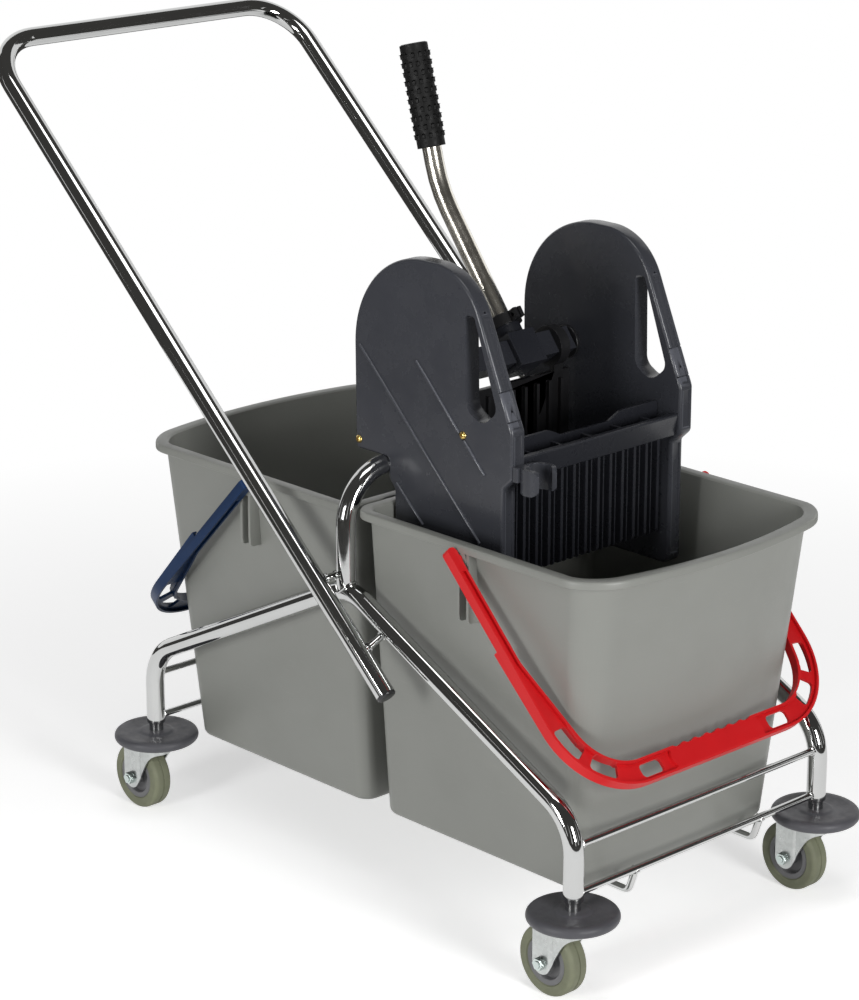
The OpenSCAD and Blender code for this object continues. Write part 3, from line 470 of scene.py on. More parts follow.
WRINGER_SKIN = {"drift": 0.05, "drift_scale": 8.0, "relief_scale": 650.0, "relief": 0.05, "depth": 0.1 * MM}
BAIL_SKIN = {"drift_scale": 20.0, "relief_scale": 500.0, "relief": 0.06}
FINISHES = {
    "chrome_tube": bright_chrome("chrome_tube", (0.56, 0.565, 0.56)),
    "lever_chrome": bright_chrome("lever_chrome", (0.90, 0.86, 0.77), (0.17, 0.27)),
    "bolt_zinc": bright_chrome("bolt_zinc", (0.56, 0.63, 0.61), (0.14, 0.24)),
    "zinc_steel": zinc_plate(),
    "brass": yellow_brass(),
    "bucket_plastic": moulded("bucket_plastic", (0.225, 0.23, 0.212), (0.34, 0.46), drift=0.035,
                              drift_scale=5.0, relief_scale=420.0, relief=0.12, depth=0.1 * MM, scuffs=0.10),
    # The edge colours given below lighten edges and ribs: partly rubbed wear, partly a painted highlight.
    "wringer_plastic": moulded("wringer_plastic", (0.040, 0.042, 0.050), (0.20, 0.32),
                               worn=(0.115, 0.120, 0.140), clean_sides=True, **WRINGER_SKIN),
    # A darker copy of the same wringer plastic: painted shade for the bar, grille, floor, rear wall and
    # press.
    "painted_shade_wringer": moulded("painted_shade_wringer", (0.017, 0.018, 0.023), (0.22, 0.34),
                            worn=(0.040, 0.042, 0.050), **WRINGER_SKIN),
    "black_plastic": moulded("black_plastic", (0.012, 0.012, 0.013), (0.28, 0.42), drift=0.10,
                             relief_scale=800.0, relief=0.08, worn=(0.022, 0.022, 0.024)),
    "red_plastic": moulded("red_plastic", (0.57, 0.010, 0.013), (0.34, 0.44), shine=0.22, drift=0.03,
                           worn=(0.62, 0.025, 0.027), **BAIL_SKIN),
    "blue_plastic": moulded("blue_plastic", (0.002, 0.016, 0.054), (0.34, 0.44), shine=0.2, drift=0.05,
                            worn=(0.007, 0.036, 0.12), **BAIL_SKIN),
    "disc_rubber": moulded("disc_rubber", (0.068, 0.068, 0.077), (0.42, 0.58), drift=0.07, drift_scale=25.0,
                           relief_scale=900.0, relief=0.2, worn=(0.11, 0.11, 0.12)),
    "hub_plastic": moulded("hub_plastic", (0.15, 0.15, 0.155), (0.4, 0.55), drift=0.08, drift_scale=40.0,
                           relief_scale=900.0, relief=0.15),
    "tyre": moulded("tyre", (0.178, 0.188, 0.122), (0.55, 0.75), drift=0.1, drift_scale=35.0,
                    relief_scale=700.0, relief=0.3, scuffs=0.15),
    "grip_rubber": moulded("grip_rubber", (0.004, 0.004, 0.004), (0.45, 0.65), shine=0.25, drift=0.12,
                           drift_scale=60.0, relief_scale=900.0, relief=0.25),
}
print(len(FINISHES), "finishes made")

# %% [markdown]
# ## Frame tubes
# The frame is bent from 22 mm tube and chromed. Curves with a bevel could make it, but extruding and
# spinning a ring follows the bender in the workshop: straight, bend, straight. The feet get a small round
# at their cut edge.

# %% Side rails, hoop and push handle
SHOULDER_Z = FOOT_Z + 86.95 * MM
PEAK_Z = FOOT_Z + 258.95 * MM
FRAME_BEND = 60 * MM
near_rail = bent_tube("near_side_rail", [
    (REAR_X, NEAR_Y, FOOT_Z), (REAR_X, NEAR_Y, SHOULDER_Z, FRAME_BEND), (MID_X, NEAR_Y, PEAK_Z, FRAME_BEND),
    (FRONT_X, NEAR_Y, SHOULDER_Z, FRAME_BEND), (FRONT_X, NEAR_Y, FOOT_Z)], TUBE_R)
soften(near_rail, 1.2 * MM)
far_rail = twin(near_rail, "far_side_rail", Matrix.Translation((0, FAR_Y - NEAR_Y, 0)))
settle(near_rail, "frame", "chrome_tube", "side_tube_near")
settle(far_rail, "frame", "chrome_tube", "side_tube_far")


def rail_z(x):
    return PEAK_Z - abs(x - MID_X) * (PEAK_Z - SHOULDER_Z) / (FRONT_X - MID_X)


HOOP_BEND = 60 * MM
HOOP_FOOT_Z = rail_z(HOOP_X) - 4 * MM
hoop = bent_tube("wringer_hoop", [
    (HOOP_X, NEAR_Y, HOOP_FOOT_Z), (HOOP_X, NEAR_Y, HOOP_Z, HOOP_BEND), (HOOP_X, FAR_Y, HOOP_Z, HOOP_BEND),
    (HOOP_X, FAR_Y, HOOP_FOOT_Z)], TUBE_R)
smooth(hoop)
settle(hoop, "frame", "chrome_tube", "hoop")

HANDLE_OUT = 33 * MM
HANDLE_LOW = Vector((MID_X + 95 * MM, NEAR_Y - HANDLE_OUT, FOOT_Z + 166.95 * MM))
HANDLE_TOP = Vector((MID_X - 587 * MM, NEAR_Y - HANDLE_OUT, FOOT_Z + 785.95 * MM))
HANDLE_BEND = 65 * MM
HANDLE_WAY = (HANDLE_TOP - HANDLE_LOW).normalized()


def far_side(point):
    return Vector((point.x, -point.y, point.z))


handle = bent_tube("push_handle_tube", [
    tuple(HANDLE_LOW), tuple(HANDLE_TOP) + (HANDLE_BEND,), tuple(far_side(HANDLE_TOP)) + (HANDLE_BEND,),
    tuple(far_side(HANDLE_LOW))], TUBE_R)
smooth(handle)
settle(handle, "frame", "chrome_tube", "push_handle")

# %% [markdown]
# The rungs and the two carrying rods are 8 mm wire with ends cut square. A cylinder would do for a rung,
# but the rods turn up at both ends, so all of them are the same kind of tube, thinner and with fewer sides.

# %% Rungs and carrying rods
ROD_SIDES = 24
for end in ("front", "rear"):
    for level in ("upper", "lower"):
        node = f"{end}_{level}_rung"
        spot = centre(node)
        ends = [(spot.x, NEAR_Y, spot.z), (spot.x, FAR_Y, spot.z)]
        rung = bent_tube(f"{end}_{level}_cross_rung", ends, ROD_R, ROD_SIDES)
        smooth(rung)
        settle(rung, "frame", "chrome_tube", node)

LOW_RUNG_Z = centre("front_lower_rung").z
ROD_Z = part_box("carrying_rod_near")[0].z + ROD_R + BEND_SWELL
ROD_RUN = 10 * MM
ROD_BEND = 9 * MM
for which in ("near", "far"):
    node = "carrying_rod_" + which
    y = centre(node).y
    rod = bent_tube("bucket_rod_" + which, [
        (REAR_X, y, LOW_RUNG_Z), (REAR_X + ROD_RUN, y, ROD_Z, ROD_BEND),
        (FRONT_X - ROD_RUN, y, ROD_Z, ROD_BEND), (FRONT_X, y, LOW_RUNG_Z)], ROD_R, ROD_SIDES, bend_steps=8)
    smooth(rod)
    settle(rod, "frame", "chrome_tube", node)

# %% [markdown]
# ## Weld beads
# Every place where a rod or tube meets another has a weld bead, and a chromed frame without them looks like
# a drawing. A bead is a thin torus. Its ring is lifted to follow the round side of the tube that it runs
# over, and its thickness swells and shrinks as a row of weld pools does.

# %% Beads on rungs, rods and hoop
BEAD = 1.5 * MM
POOL = 2.4 * MM
POOL_SWELL = 0.22


def bead(foot, way, along, rod_r, host_r):
    up = Vector(way).normalized()
    side_way = up.cross(Vector(along)).normalized()
    turn = Matrix((side_way.cross(up), side_way, up)).transposed().to_4x4()
    deselect()
    bpy.ops.mesh.primitive_torus_add(major_radius=rod_r, minor_radius=BEAD, major_segments=56,
                                     minor_segments=8)
    ring = bpy.context.object
    pools = round(2 * pi * rod_r / POOL)
    for vertex in ring.data.vertices:
        angle = atan2(vertex.co.y, vertex.co.x)
        spine = Vector((rod_r * cos(angle), rod_r * sin(angle), 0))
        swell = 1 + POOL_SWELL * abs(sin(pools * angle / 2))
        lift = sqrt(max(0, host_r ** 2 - spine.y ** 2))
        vertex.co = spine + (vertex.co - spine) * swell + Vector((0, 0, lift))
    ring.data.transform(Matrix.Translation(foot) @ turn)
    return ring


beads = []
for y, inward in ((NEAR_Y, 1), (FAR_Y, -1)):
    beads.append(bead((HOOP_X, y, HOOP_FOOT_Z), (0, 0, 1), (1, 0, 0.35), TUBE_R, TUBE_R))
    for x in (REAR_X, FRONT_X):
        for node in ("front_upper_rung", "front_lower_rung"):
            beads.append(bead((x, y, centre(node).z), (0, inward, 0), (0, 0, 1), ROD_R, TUBE_R))
for x in (REAR_X, FRONT_X):
    for node in ("carrying_rod_near", "carrying_rod_far"):
        lean = Vector((ROD_RUN if x == REAR_X else -ROD_RUN, 0, ROD_Z - LOW_RUNG_Z))
        beads.append(bead((x, centre(node).y, LOW_RUNG_Z), lean, (0, 1, 0), ROD_R, ROD_R))

# %% [markdown]
# Four short stub rods join the push handle to the frame, the upper ones to the hoop and the lower ones to
# the side rails. Each bead sits where its stub comes out of the tube, and that place is found by walking
# along the stub.

# %% Beads on the stub rods
HIGH_STUB_X = HOOP_X - 8 * MM
LOW_STUB_X = MID_X + 60 * MM
HIGH_STUB_LIFT = 6 * MM
LOW_STUB_SINK = 8 * MM
STUB_STEP = 0.2


def emerge(start, way, host, along):
    spot = Vector(start)
    while (spot - host).cross(along).length < TUBE_R:
        spot += way * STUB_STEP * MM
    return spot


def leg_z(x):
    return HANDLE_LOW.z + (x - HANDLE_LOW.x) * HANDLE_WAY.z / HANDLE_WAY.x


high_start = Vector((HIGH_STUB_X, NEAR_Y, leg_z(HIGH_STUB_X) + HIGH_STUB_LIFT))
high_run = Vector((0, -HANDLE_OUT, 0))
low_start = Vector((LOW_STUB_X, NEAR_Y, rail_z(LOW_STUB_X) - LOW_STUB_SINK))
low_run = Vector((0, -HANDLE_OUT, leg_z(LOW_STUB_X) - rail_z(LOW_STUB_X) + 2 * LOW_STUB_SINK))
hoop_leg = Vector((HOOP_X, NEAR_Y, PEAK_Z))
rail_peak = Vector((MID_X, NEAR_Y, PEAK_Z))
rail_way = Vector((FRONT_X - MID_X, 0, SHOULDER_Z - PEAK_Z)).normalized()
stubs = [(high_start, high_run, hoop_leg, Vector((0, 0, 1))), (low_start, low_run, rail_peak, rail_way)]
for start, run, host, along in stubs:
    way = run.normalized()
    inner_foot = emerge(start, way, host, along)
    outer_foot = emerge(start + run, -way, HANDLE_LOW, HANDLE_WAY)
    for foot, out in ((inner_foot, way), (outer_foot, -way)):
        ring = bead(foot, out, (1, 0, 0), ROD_R, 0)
        beads += [ring, twin(ring, "bead", MIRROR_Y)]
welds = joined("weld_beads", beads)
smooth(welds)
settle(welds, "frame", "chrome_tube")

# %% [markdown]
# ## Handle plugs
# Black plastic plugs close the open ends of the push handle. Each is a shallow turned cap with a rounded
# edge and a shank inside the tube.

# %% End plugs
PLUG_HEAD = 4 * MM
PLUG_SHANK = 13 * MM
PLUG_IN = TUBE_R - 1.6 * MM
plug_profile = [(0, -PLUG_HEAD), (TUBE_R * 0.7, -PLUG_HEAD * 0.96), (TUBE_R * 0.9, -PLUG_HEAD * 0.8),
                (TUBE_R * 0.99, -PLUG_HEAD * 0.5), (TUBE_R, -PLUG_HEAD * 0.25), (TUBE_R, 0),
                (PLUG_IN, 0), (PLUG_IN, PLUG_SHANK), (0, PLUG_SHANK)]
plugs = joined("handle_plugs", [turned("plug", plug_profile, low_end, HANDLE_WAY, 40)
                                for low_end in (HANDLE_LOW, far_side(HANDLE_LOW))])
smooth(plugs)
settle(plugs, "frame", "black_plastic", "handle_end_plugs")

# %% [markdown]
# ## Castors
# A castor is a pressed fork, a wheel with a plastic hub and a grey rubber tyre, an axle bolt, and a rubber
# disc above it that keeps the trolley off the walls. Disc, fork, hub and tyre are each modelled once about
# a stem and copied to the four corners. The disc is turned, with a round edge and a shallow dish on top.

# %% Bumper discs
DISC_R = 50 * MM
DISC_EDGE = 6.5 * MM
DISC_HOLE = 6.2 * MM
disc_edge = [(DISC_R - DISC_EDGE + DISC_EDGE * sin(a), DISC_LOW + DISC_EDGE - DISC_EDGE * cos(a))
             for a in map(radians, range(0, 151, 10))]
# Radius and depth below the top, in millimetres, from the edge inwards
disc_dish = [(41.5, 0.5), (39, 0.9), (33, 1.2), (23, 1.6), (20.5, 1.5), (19, 0.6), (17.5, 0.1), (15.5, 0)]
disc_profile = [(DISC_HOLE, DISC_LOW), (12 * MM, DISC_LOW)] + disc_edge
disc_profile += [(r * MM, DISC_HIGH - deep * MM) for r, deep in disc_dish]
disc_profile += [(DISC_HOLE, DISC_HIGH), (DISC_HOLE, DISC_LOW)]
disc_model = turned("disc_model", disc_profile, steps=96)
smooth(disc_model, 50)
for corner in CORNERS:
    disc = twin(disc_model, "bumper_disc_" + corner, Matrix.Translation((STEM[corner].x, STEM[corner].y, 0)))
    settle(disc, "frame", "disc_rubber", "bumper_discs")

# %% [markdown]
# The fork is one sheet of zinc-plated steel, wrapped round the wheel in a U and closed by a crown plate on
# top. A grid is wrapped in the same way: its columns follow the U, and its rows run from the crown down to
# a lower edge that is high in front and reaches the axle on both legs. Solidify then gives the sheet its
# thickness.

# %% Forks
FORK_T = 2.5 * MM
FORK_GAP = 32 * MM
CROWN_T = 3 * MM
CROWN_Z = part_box("fork_front_near")[1].z - CROWN_T
APRON_DROP = 13 * MM
LEG_HALF = 13 * MM
SHEET_Y = FORK_GAP / 2 + FORK_T / 2
APRON_Y = SHEET_Y - 2.4 * MM
STEP_AT, STEP_LONG = 13.5 * MM, 3 * MM
FORK_TOP = CROWN_Z + 1 * MM
FORK_COLUMNS, FORK_ROWS = 76, 12


def ease(x):
    x = max(0.0, min(1.0, x))
    return x * x * (3 - 2 * x)


def fork_point(column, row):
    along = column * 2 - 1
    straight = TRAIL + LEG_HALF
    quarter = APRON_Y * pi / 2
    way = abs(along) * (straight + quarter)
    sign = -1 if along < 0 else 1
    if way < quarter:
        angle = way / APRON_Y
        x = APRON_Y * cos(angle)
        y = sign * APRON_Y * sin(angle)
    else:
        x = quarter - way
        y = sign * (APRON_Y + (SHEET_Y - APRON_Y) * ease((-x - STEP_AT) / STEP_LONG))
    off = abs(x + TRAIL)
    if x < LEG_HALF - TRAIL:
        low = AXLE_Z - sqrt(max(0, LEG_HALF ** 2 - min(off, LEG_HALF) ** 2))
    else:
        rise = (x - LEG_HALF + TRAIL) / (APRON_Y - LEG_HALF + TRAIL)
        low = AXLE_Z + (FORK_TOP - APRON_DROP - AXLE_Z) * sin(rise * pi / 2)
    return Vector((x, y, low + (FORK_TOP - low) * row))


deselect()
bpy.ops.mesh.primitive_grid_add(x_subdivisions=FORK_COLUMNS, y_subdivisions=FORK_ROWS, size=1)
fork_model = bpy.context.object
fork_model.name = "fork_model"
for vertex in fork_model.data.vertices:
    vertex.co = fork_point(vertex.co.x + 0.5, vertex.co.y + 0.5)
merge_mesh(fork_model)
apply_modifier(fork_model, "SOLIDIFY", thickness=FORK_T, offset=0.0)
merge_mesh(fork_model)

# %% Fork crown
CROWN_FRONT, CROWN_BACK = 21, -(TRAIL + LEG_HALF) / MM
CROWN_HALF = SHEET_Y / MM + 1.2
FRONT_R, BACK_R = 17, 4
PIN_HOLE_R = 6.05 * MM
crown_corners = [(CROWN_BACK, -CROWN_HALF, BACK_R), (CROWN_FRONT, -CROWN_HALF, FRONT_R),
                 (CROWN_FRONT, CROWN_HALF, FRONT_R), (CROWN_BACK, CROWN_HALF, BACK_R)]
crown = plate("crown", rounded(crown_corners), flat, CROWN_Z, CROWN_Z + CROWN_T)
carve(crown, peg("pin_hole", PIN_HOLE_R, (0, 0, CROWN_Z - MM), (0, 0, CROWN_Z + 5 * MM)))
fork_model = joined("fork_model", [fork_model, crown])
soften(fork_model, 0.5 * MM, 2, 50)
print("fork pressed", FORK_T / MM, "mm thick round a gap of", FORK_GAP / MM, "mm")

# %% [markdown]
# The hub is a plastic wheel with a deep dish on both sides, and the tyre is a rubber ring with round
# shoulders and a fine mould groove in the middle of its tread. Both are turned. The axle bolt is a copy of
# its solid, so nut and head keep their six sides, and their edges are rounded a little.

# %% Hubs, tyres and axles
HUB_R = (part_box("hub_front_near")[1].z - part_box("hub_front_near")[0].z) / 2
TYRE_R = (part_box("tyre_front_near")[1].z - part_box("tyre_front_near")[0].z) / 2
TYRE_HALF = 12 * MM
TREAD_R = 5 * MM
AXLE_AT, AXLE_WAY = (-TRAIL, 0, AXLE_Z), (0, 1, 0)
half_hub = [(4.05, 15), (8.2, 15), (9, 14.2), (9.4, 6), (10.5, 4.6), (18.5, 4.4), (20, 5.4), (20.8, 10.4),
            (21.6, 11), (HUB_R / MM, 11)]
hub_profile = [(r * MM, h * MM) for r, h in half_hub] + [(r * MM, -h * MM) for r, h in reversed(half_hub)]
hub_model = turned("hub_model", hub_profile + hub_profile[:1], AXLE_AT, AXLE_WAY, 56)
smooth(hub_model, 30)
tread_edge = [(TYRE_R - TREAD_R + TREAD_R * sin(a), TYRE_HALF - TREAD_R + TREAD_R * cos(a))
              for a in map(radians, range(0, 91, 10))]
half_tyre = [(HUB_R + 0.1 * MM, TYRE_HALF - 1.2 * MM), (HUB_R + 1.2 * MM, TYRE_HALF)] + tread_edge
half_tyre += [(TYRE_R, 1.2 * MM), (TYRE_R - 1.1 * MM, 0.5 * MM)]
tyre_profile = half_tyre + [(r, -h) for r, h in reversed(half_tyre)]
tyre_model = turned("tyre_model", tyre_profile + tyre_profile[:1], AXLE_AT, AXLE_WAY, 96)
smooth(tyre_model, 40)
for corner in CORNERS:
    move = Matrix.Translation((STEM[corner].x, STEM[corner].y, 0))
    fork = twin(fork_model, "castor_fork_" + corner, move)
    settle(fork, "castor_" + corner, "zinc_steel", "fork_" + corner)
    hub = twin(hub_model, "wheel_hub_" + corner, move)
    settle(hub, "wheel_" + corner, "hub_plastic", "hub_" + corner)
    tyre = twin(tyre_model, "wheel_tyre_" + corner, move)
    settle(tyre, "wheel_" + corner, "tyre", "tyre_" + corner)
    bolt = softened_copy("axle_" + corner, "axle_bolt_" + corner, 0.5 * MM)
    settle(bolt, "castor_" + corner, "zinc_steel", "axle_" + corner, finish="bolt_zinc")
discard(disc_model, fork_model, hub_model, tyre_model)

# %% [markdown]
# ## Buckets
# A bucket is a thin moulding: its walls widen from a rounded base to a turned-over rim, its outer end bows
# out, and its corners are rounder outside than at the inner end. A box with a subdivision surface would
# round too much, so the wall is a loft. One face climbs the outside, turns over the rim and goes down the
# inside.

# %% Bucket outlines
RIM_L = 386
RIM_HALF = 190
RIM_OVER = 12
RIM_H = 9
RIM_R_IN, RIM_R_OUT, RIM_BOW = 27, 50, 27
BASE_IN, BASE_L, BASE_HALF, BASE_R, BASE_BOW, BASE_EDGE = 14, 305, 155, 20, 8, 8
WALL = 3
GAP_HALF = 1
FLANGE_Z = RIM_Z - RIM_H * MM


def mix(a, b, share):
    return a + (b - a) * share


def plan(u0, u1, half, r_in, r_out, bow, z):
    corner_steps = 10
    side_steps = 6
    end_steps = 14

    def arc(u, v, r, first):
        turns = [radians(first + 90 * k / corner_steps) for k in range(corner_steps + 1)]
        return [(u + r * cos(a), v + r * sin(a)) for a in turns]

    def line(a, b, steps):
        return [(mix(a[0], b[0], k / steps), mix(a[1], b[1], k / steps)) for k in range(1, steps)]

    low_in = arc(u0 + r_in, r_in - half, r_in, 180)
    low_out = arc(u1 - r_out, r_out - half, r_out, 270)
    high_out = arc(u1 - r_out, half - r_out, r_out, 0)
    high_in = arc(u0 + r_in, half - r_in, r_in, 90)
    raw = low_in + line(low_in[-1], low_out[0], side_steps)
    raw += low_out + line(low_out[-1], high_out[0], end_steps)
    raw += high_out + line(high_out[-1], high_in[0], side_steps) + high_in
    ring = []
    for u, v in raw:
        outward = max(0, (u - (u0 + u1) / 2) / ((u1 - u0) / 2))
        ring.append(Vector((HOOP_X + (u - bow * outward ** 2 * (v / half) ** 2) * MM, v * MM, z)))
    return ring


def rim_ring(inset, z):
    return plan(GAP_HALF + inset, GAP_HALF + RIM_L - inset, RIM_HALF - inset, RIM_R_IN - inset,
                RIM_R_OUT - inset, RIM_BOW, z)


def climb(z):
    return (z - BASE_Z) / (FLANGE_Z - BASE_Z)


def wall_half(z):
    return mix(BASE_HALF, RIM_HALF - RIM_OVER, climb(z))


def wall_ring(inset, z):
    share = climb(z)
    inner_end = mix(BASE_IN, GAP_HALF + RIM_OVER, share) + inset
    outer_end = mix(BASE_IN + BASE_L, GAP_HALF + RIM_L - RIM_OVER, share) - inset
    inner_r = mix(BASE_R, RIM_R_IN - RIM_OVER, share) - inset
    outer_r = mix(BASE_R, RIM_R_OUT - RIM_OVER, share) - inset
    bow = mix(BASE_BOW, RIM_BOW, share)
    return plan(inner_end, outer_end, wall_half(z) - inset, inner_r, outer_r, bow, z)


def base_rings(floor_z, inset):
    turns = [radians(a) for a in range(0, 91, 15)]
    return [wall_ring(inset + BASE_EDGE * (1 - sin(a)), floor_z + BASE_EDGE * (1 - cos(a)) * MM)
            for a in turns]


print("bucket rim", RIM_L, "by", 2 * RIM_HALF, "mm, base", BASE_L, "by", 2 * BASE_HALF, "mm")

# %% [markdown]
# The rim is hollow underneath, as a moulded rim is: the wall runs up into it, and a lip turns down round
# the outside. Two ribs and a boss under the rim carry each bail peg.

# %% Bucket wall and rim
LIP = 2.5
lip_levels = [wall_ring(0, RIM_Z - 4 * MM), rim_ring(LIP + 1, RIM_Z - 3.4 * MM),
              rim_ring(LIP, RIM_Z - 4.4 * MM), rim_ring(LIP, FLANGE_Z + 0.6 * MM),
              rim_ring(LIP - 0.6, FLANGE_Z), rim_ring(0.6, FLANGE_Z), rim_ring(0, FLANGE_Z + 0.6 * MM),
              rim_ring(0, RIM_Z - 3 * MM), rim_ring(0.3, RIM_Z - 1.7 * MM), rim_ring(1.2, RIM_Z - 0.5 * MM),
              rim_ring(2.6, RIM_Z), rim_ring(RIM_OVER - 1, RIM_Z), rim_ring(RIM_OVER + 1, RIM_Z - 0.6 * MM),
              rim_ring(RIM_OVER + WALL - 0.6, RIM_Z - 2 * MM), wall_ring(WALL, RIM_Z - 6 * MM)]
shell = base_rings(BASE_Z, 0) + lip_levels + list(reversed(base_rings(BASE_Z + WALL * MM, WALL)))
front_shell = loft("front_bucket_shell", shell)
print("bucket wall lofted through", len(shell), "levels")

# %% Bail bosses and ribs
PIVOT = Vector((HOOP_X + 172 * MM, 0, RIM_Z - 16 * MM))
BOSS_R, PEG_R, PEG_PLAY = 10 * MM, 5 * MM, 0.05 * MM
RIB_W, RIB_L = 3.5 * MM, 77 * MM
RIB_OUT = RIM_HALF - 1
RIB_LOW, RIB_TOP = FLANGE_Z - RIB_L, FLANGE_Z + 2 * MM
rib_half = [(wall_half(RIB_LOW) - 1, RIB_LOW), (RIB_OUT - 4, RIB_LOW), (RIB_OUT - 1, RIB_LOW + 2 * MM),
            (RIB_OUT, RIB_LOW + 8 * MM), (RIB_OUT, RIB_TOP), (wall_half(FLANGE_Z) - 1, RIB_TOP)]


def at_pivot(y):
    return PIVOT + Vector((0, y, 0))


for sign in (-1, 1):
    boss_in = sign * (wall_half(PIVOT.z) - 1) * MM
    boss_out = sign * (RIM_HALF - 0.5) * MM
    carve(front_shell, peg("boss", BOSS_R, at_pivot(boss_in), at_pivot(boss_out)), "UNION")
    for u in (PIVOT.x - 2 * MM, PIVOT.x + 12 * MM):
        outline = [(sign * y * MM, z) for y, z in rib_half]
        carve(front_shell, plate("rib", outline, lengthways, u - RIB_W / 2, u + RIB_W / 2), "UNION")
    hole_in = at_pivot(boss_in + sign * 2 * MM)
    hole_out = at_pivot(boss_out + sign * 3 * MM)
    carve(front_shell, peg("hole", PEG_R + PEG_PLAY, hole_in, hole_out))
merge_mesh(front_shell)
smooth(front_shell, 32)
mirror_x = Matrix.Scale(-1, 4, (1, 0, 0))
mirror_x = Matrix.Translation((HOOP_X, 0, 0)) @ mirror_x @ Matrix.Translation((-HOOP_X, 0, 0))
rear_shell = twin(front_shell, "rear_bucket_shell", mirror_x)
settle(front_shell, "front_bucket", "bucket_plastic", "bucket_front")
settle(rear_shell, "rear_bucket", "bucket_plastic", "bucket_rear")

# %% [markdown]
# ## Bails
# Each bucket has a moulded plastic bail: a U of flat strap with raised edges, slots in its corners, an
# outer skirt that is deepest along the arms, and a grip with finger scallops. A bent bar could stand in for
# it, but the slots and edges catch the light. So it is drawn flat, with u away from the pivots, and carved
# as a mould maker would: pockets, slots and scallops are cut, and the skirt and pegs are joined on. Then it
# is tipped to where it hangs.

# %% The bail's strap and skirt
BAIL_IN, BAIL_OUT = 191.5, 203.5
REACH, BAR, BAIL_R, EDGE = 296, 27, 92, 3
EDGE_HALF, WEB_HALF, SKIRT_LOW, ARM_LOW = 5.5 * MM, 1.8 * MM, -7.5 * MM, -11 * MM
GRIP_HALF = 66
WAIST = 30
HEEL, HEEL_R = -13, 5
ARM_TURN, ARM_R, WAIST_R = 130, 40, 60
SKIRT_AT = 110
BAR_IN = REACH - BAR
BAIL_STEPS = 18
ARC_U = REACH - BAIL_R
ARC_V = BAIL_OUT - BAIL_R
strap = rounded([(HEEL, -BAIL_OUT, HEEL_R), (REACH, -BAIL_OUT, BAIL_R), (REACH, BAIL_OUT, BAIL_R),
                 (HEEL, BAIL_OUT, HEEL_R), (HEEL, BAIL_IN, HEEL_R), (ARM_TURN, BAIL_IN, ARM_R),
                 (BAR_IN, BAIL_IN - WAIST, WAIST_R), (BAR_IN, WAIST - BAIL_IN, WAIST_R),
                 (ARM_TURN, -BAIL_IN, ARM_R), (HEEL, -BAIL_IN, HEEL_R)], BAIL_STEPS)
front_bail = plate("front_bail_grip", strap, flat, -EDGE_HALF, EDGE_HALF)
skirt_r = BAIL_R - EDGE
skirt = rounded([(SKIRT_AT, BAIL_OUT, 0), (SKIRT_AT, BAIL_OUT - EDGE, 0),
                 (REACH - EDGE, BAIL_OUT - EDGE, skirt_r), (REACH - EDGE, EDGE - BAIL_OUT, skirt_r),
                 (SKIRT_AT, EDGE - BAIL_OUT, 0), (SKIRT_AT, -BAIL_OUT, 0), (REACH, -BAIL_OUT, BAIL_R),
                 (REACH, BAIL_OUT, BAIL_R)], BAIL_STEPS)
carve(front_bail, plate("skirt", skirt, flat, SKIRT_LOW, 0), "UNION")
for sign in (-1, 1):
    arm = [(SKIRT_AT - 2, BAIL_OUT - 6), (ARC_U + 20, BAIL_OUT - 6), (ARC_U, BAIL_OUT),
           (SKIRT_AT - 2, BAIL_OUT)]
    arm_skirt = plate("arm_skirt", [Vector((u, sign * v)) * MM for u, v in arm], flat, ARM_LOW, 0)
    # Towards the corner the deep skirt runs out to the depth of the rest
    open_mesh(arm_skirt)
    mesh = bmesh.from_edit_mesh(arm_skirt.data)
    for vertex in mesh.verts:
        if vertex.co.z < -MM and vertex.co.x > ARM_TURN * MM:
            vertex.co.z = SKIRT_LOW
    bmesh.update_edit_mesh(arm_skirt.data)
    close_mesh()
    carve(front_bail, arm_skirt, "UNION")
print("bail strap drawn with", len(strap), "points")

# %% Pockets, slots, scallops and pegs
SLOT_IN, SLOT_OUT, SLOT_EDGE = BAIL_R - 25, BAIL_R - 6.5, 6
ARC_SLOT_R, BAR_SLOT_R = 4.5, 5
POCKET_AT, POCKET_TOP = 16, 9 * MM
CUT = 20 * MM
SCALLOP_R, SCALLOP_PITCH, SCALLOP_SET = 12 * MM, 18 * MM, 9.5


def slot_cutter(corners):
    return plate("slot", rounded(corners, 8), flat, -CUT, CUT)


def arc_slot(sign, first, last):
    turns = [radians(first + (last - first) * k / 4) for k in range(5)]
    corners = [(ARC_U + SLOT_OUT * sin(a), sign * (ARC_V + SLOT_OUT * cos(a))) for a in turns]
    corners += [(ARC_U + SLOT_IN * sin(a), sign * (ARC_V + SLOT_IN * cos(a))) for a in reversed(turns)]
    radii = [ARC_SLOT_R, 0, 0, 0, ARC_SLOT_R] * 2
    return slot_cutter([corner + (radius,) for corner, radius in zip(corners, radii)])


def bar_slot(sign):
    first, last = sign * (GRIP_HALF + 18), sign * (GRIP_HALF + 50)
    low, high = BAR_IN + SLOT_EDGE, REACH - SLOT_EDGE
    corners = [(low, first), (high, first), (high, last), (low, last)]
    return slot_cutter([corner + (BAR_SLOT_R,) for corner in corners])


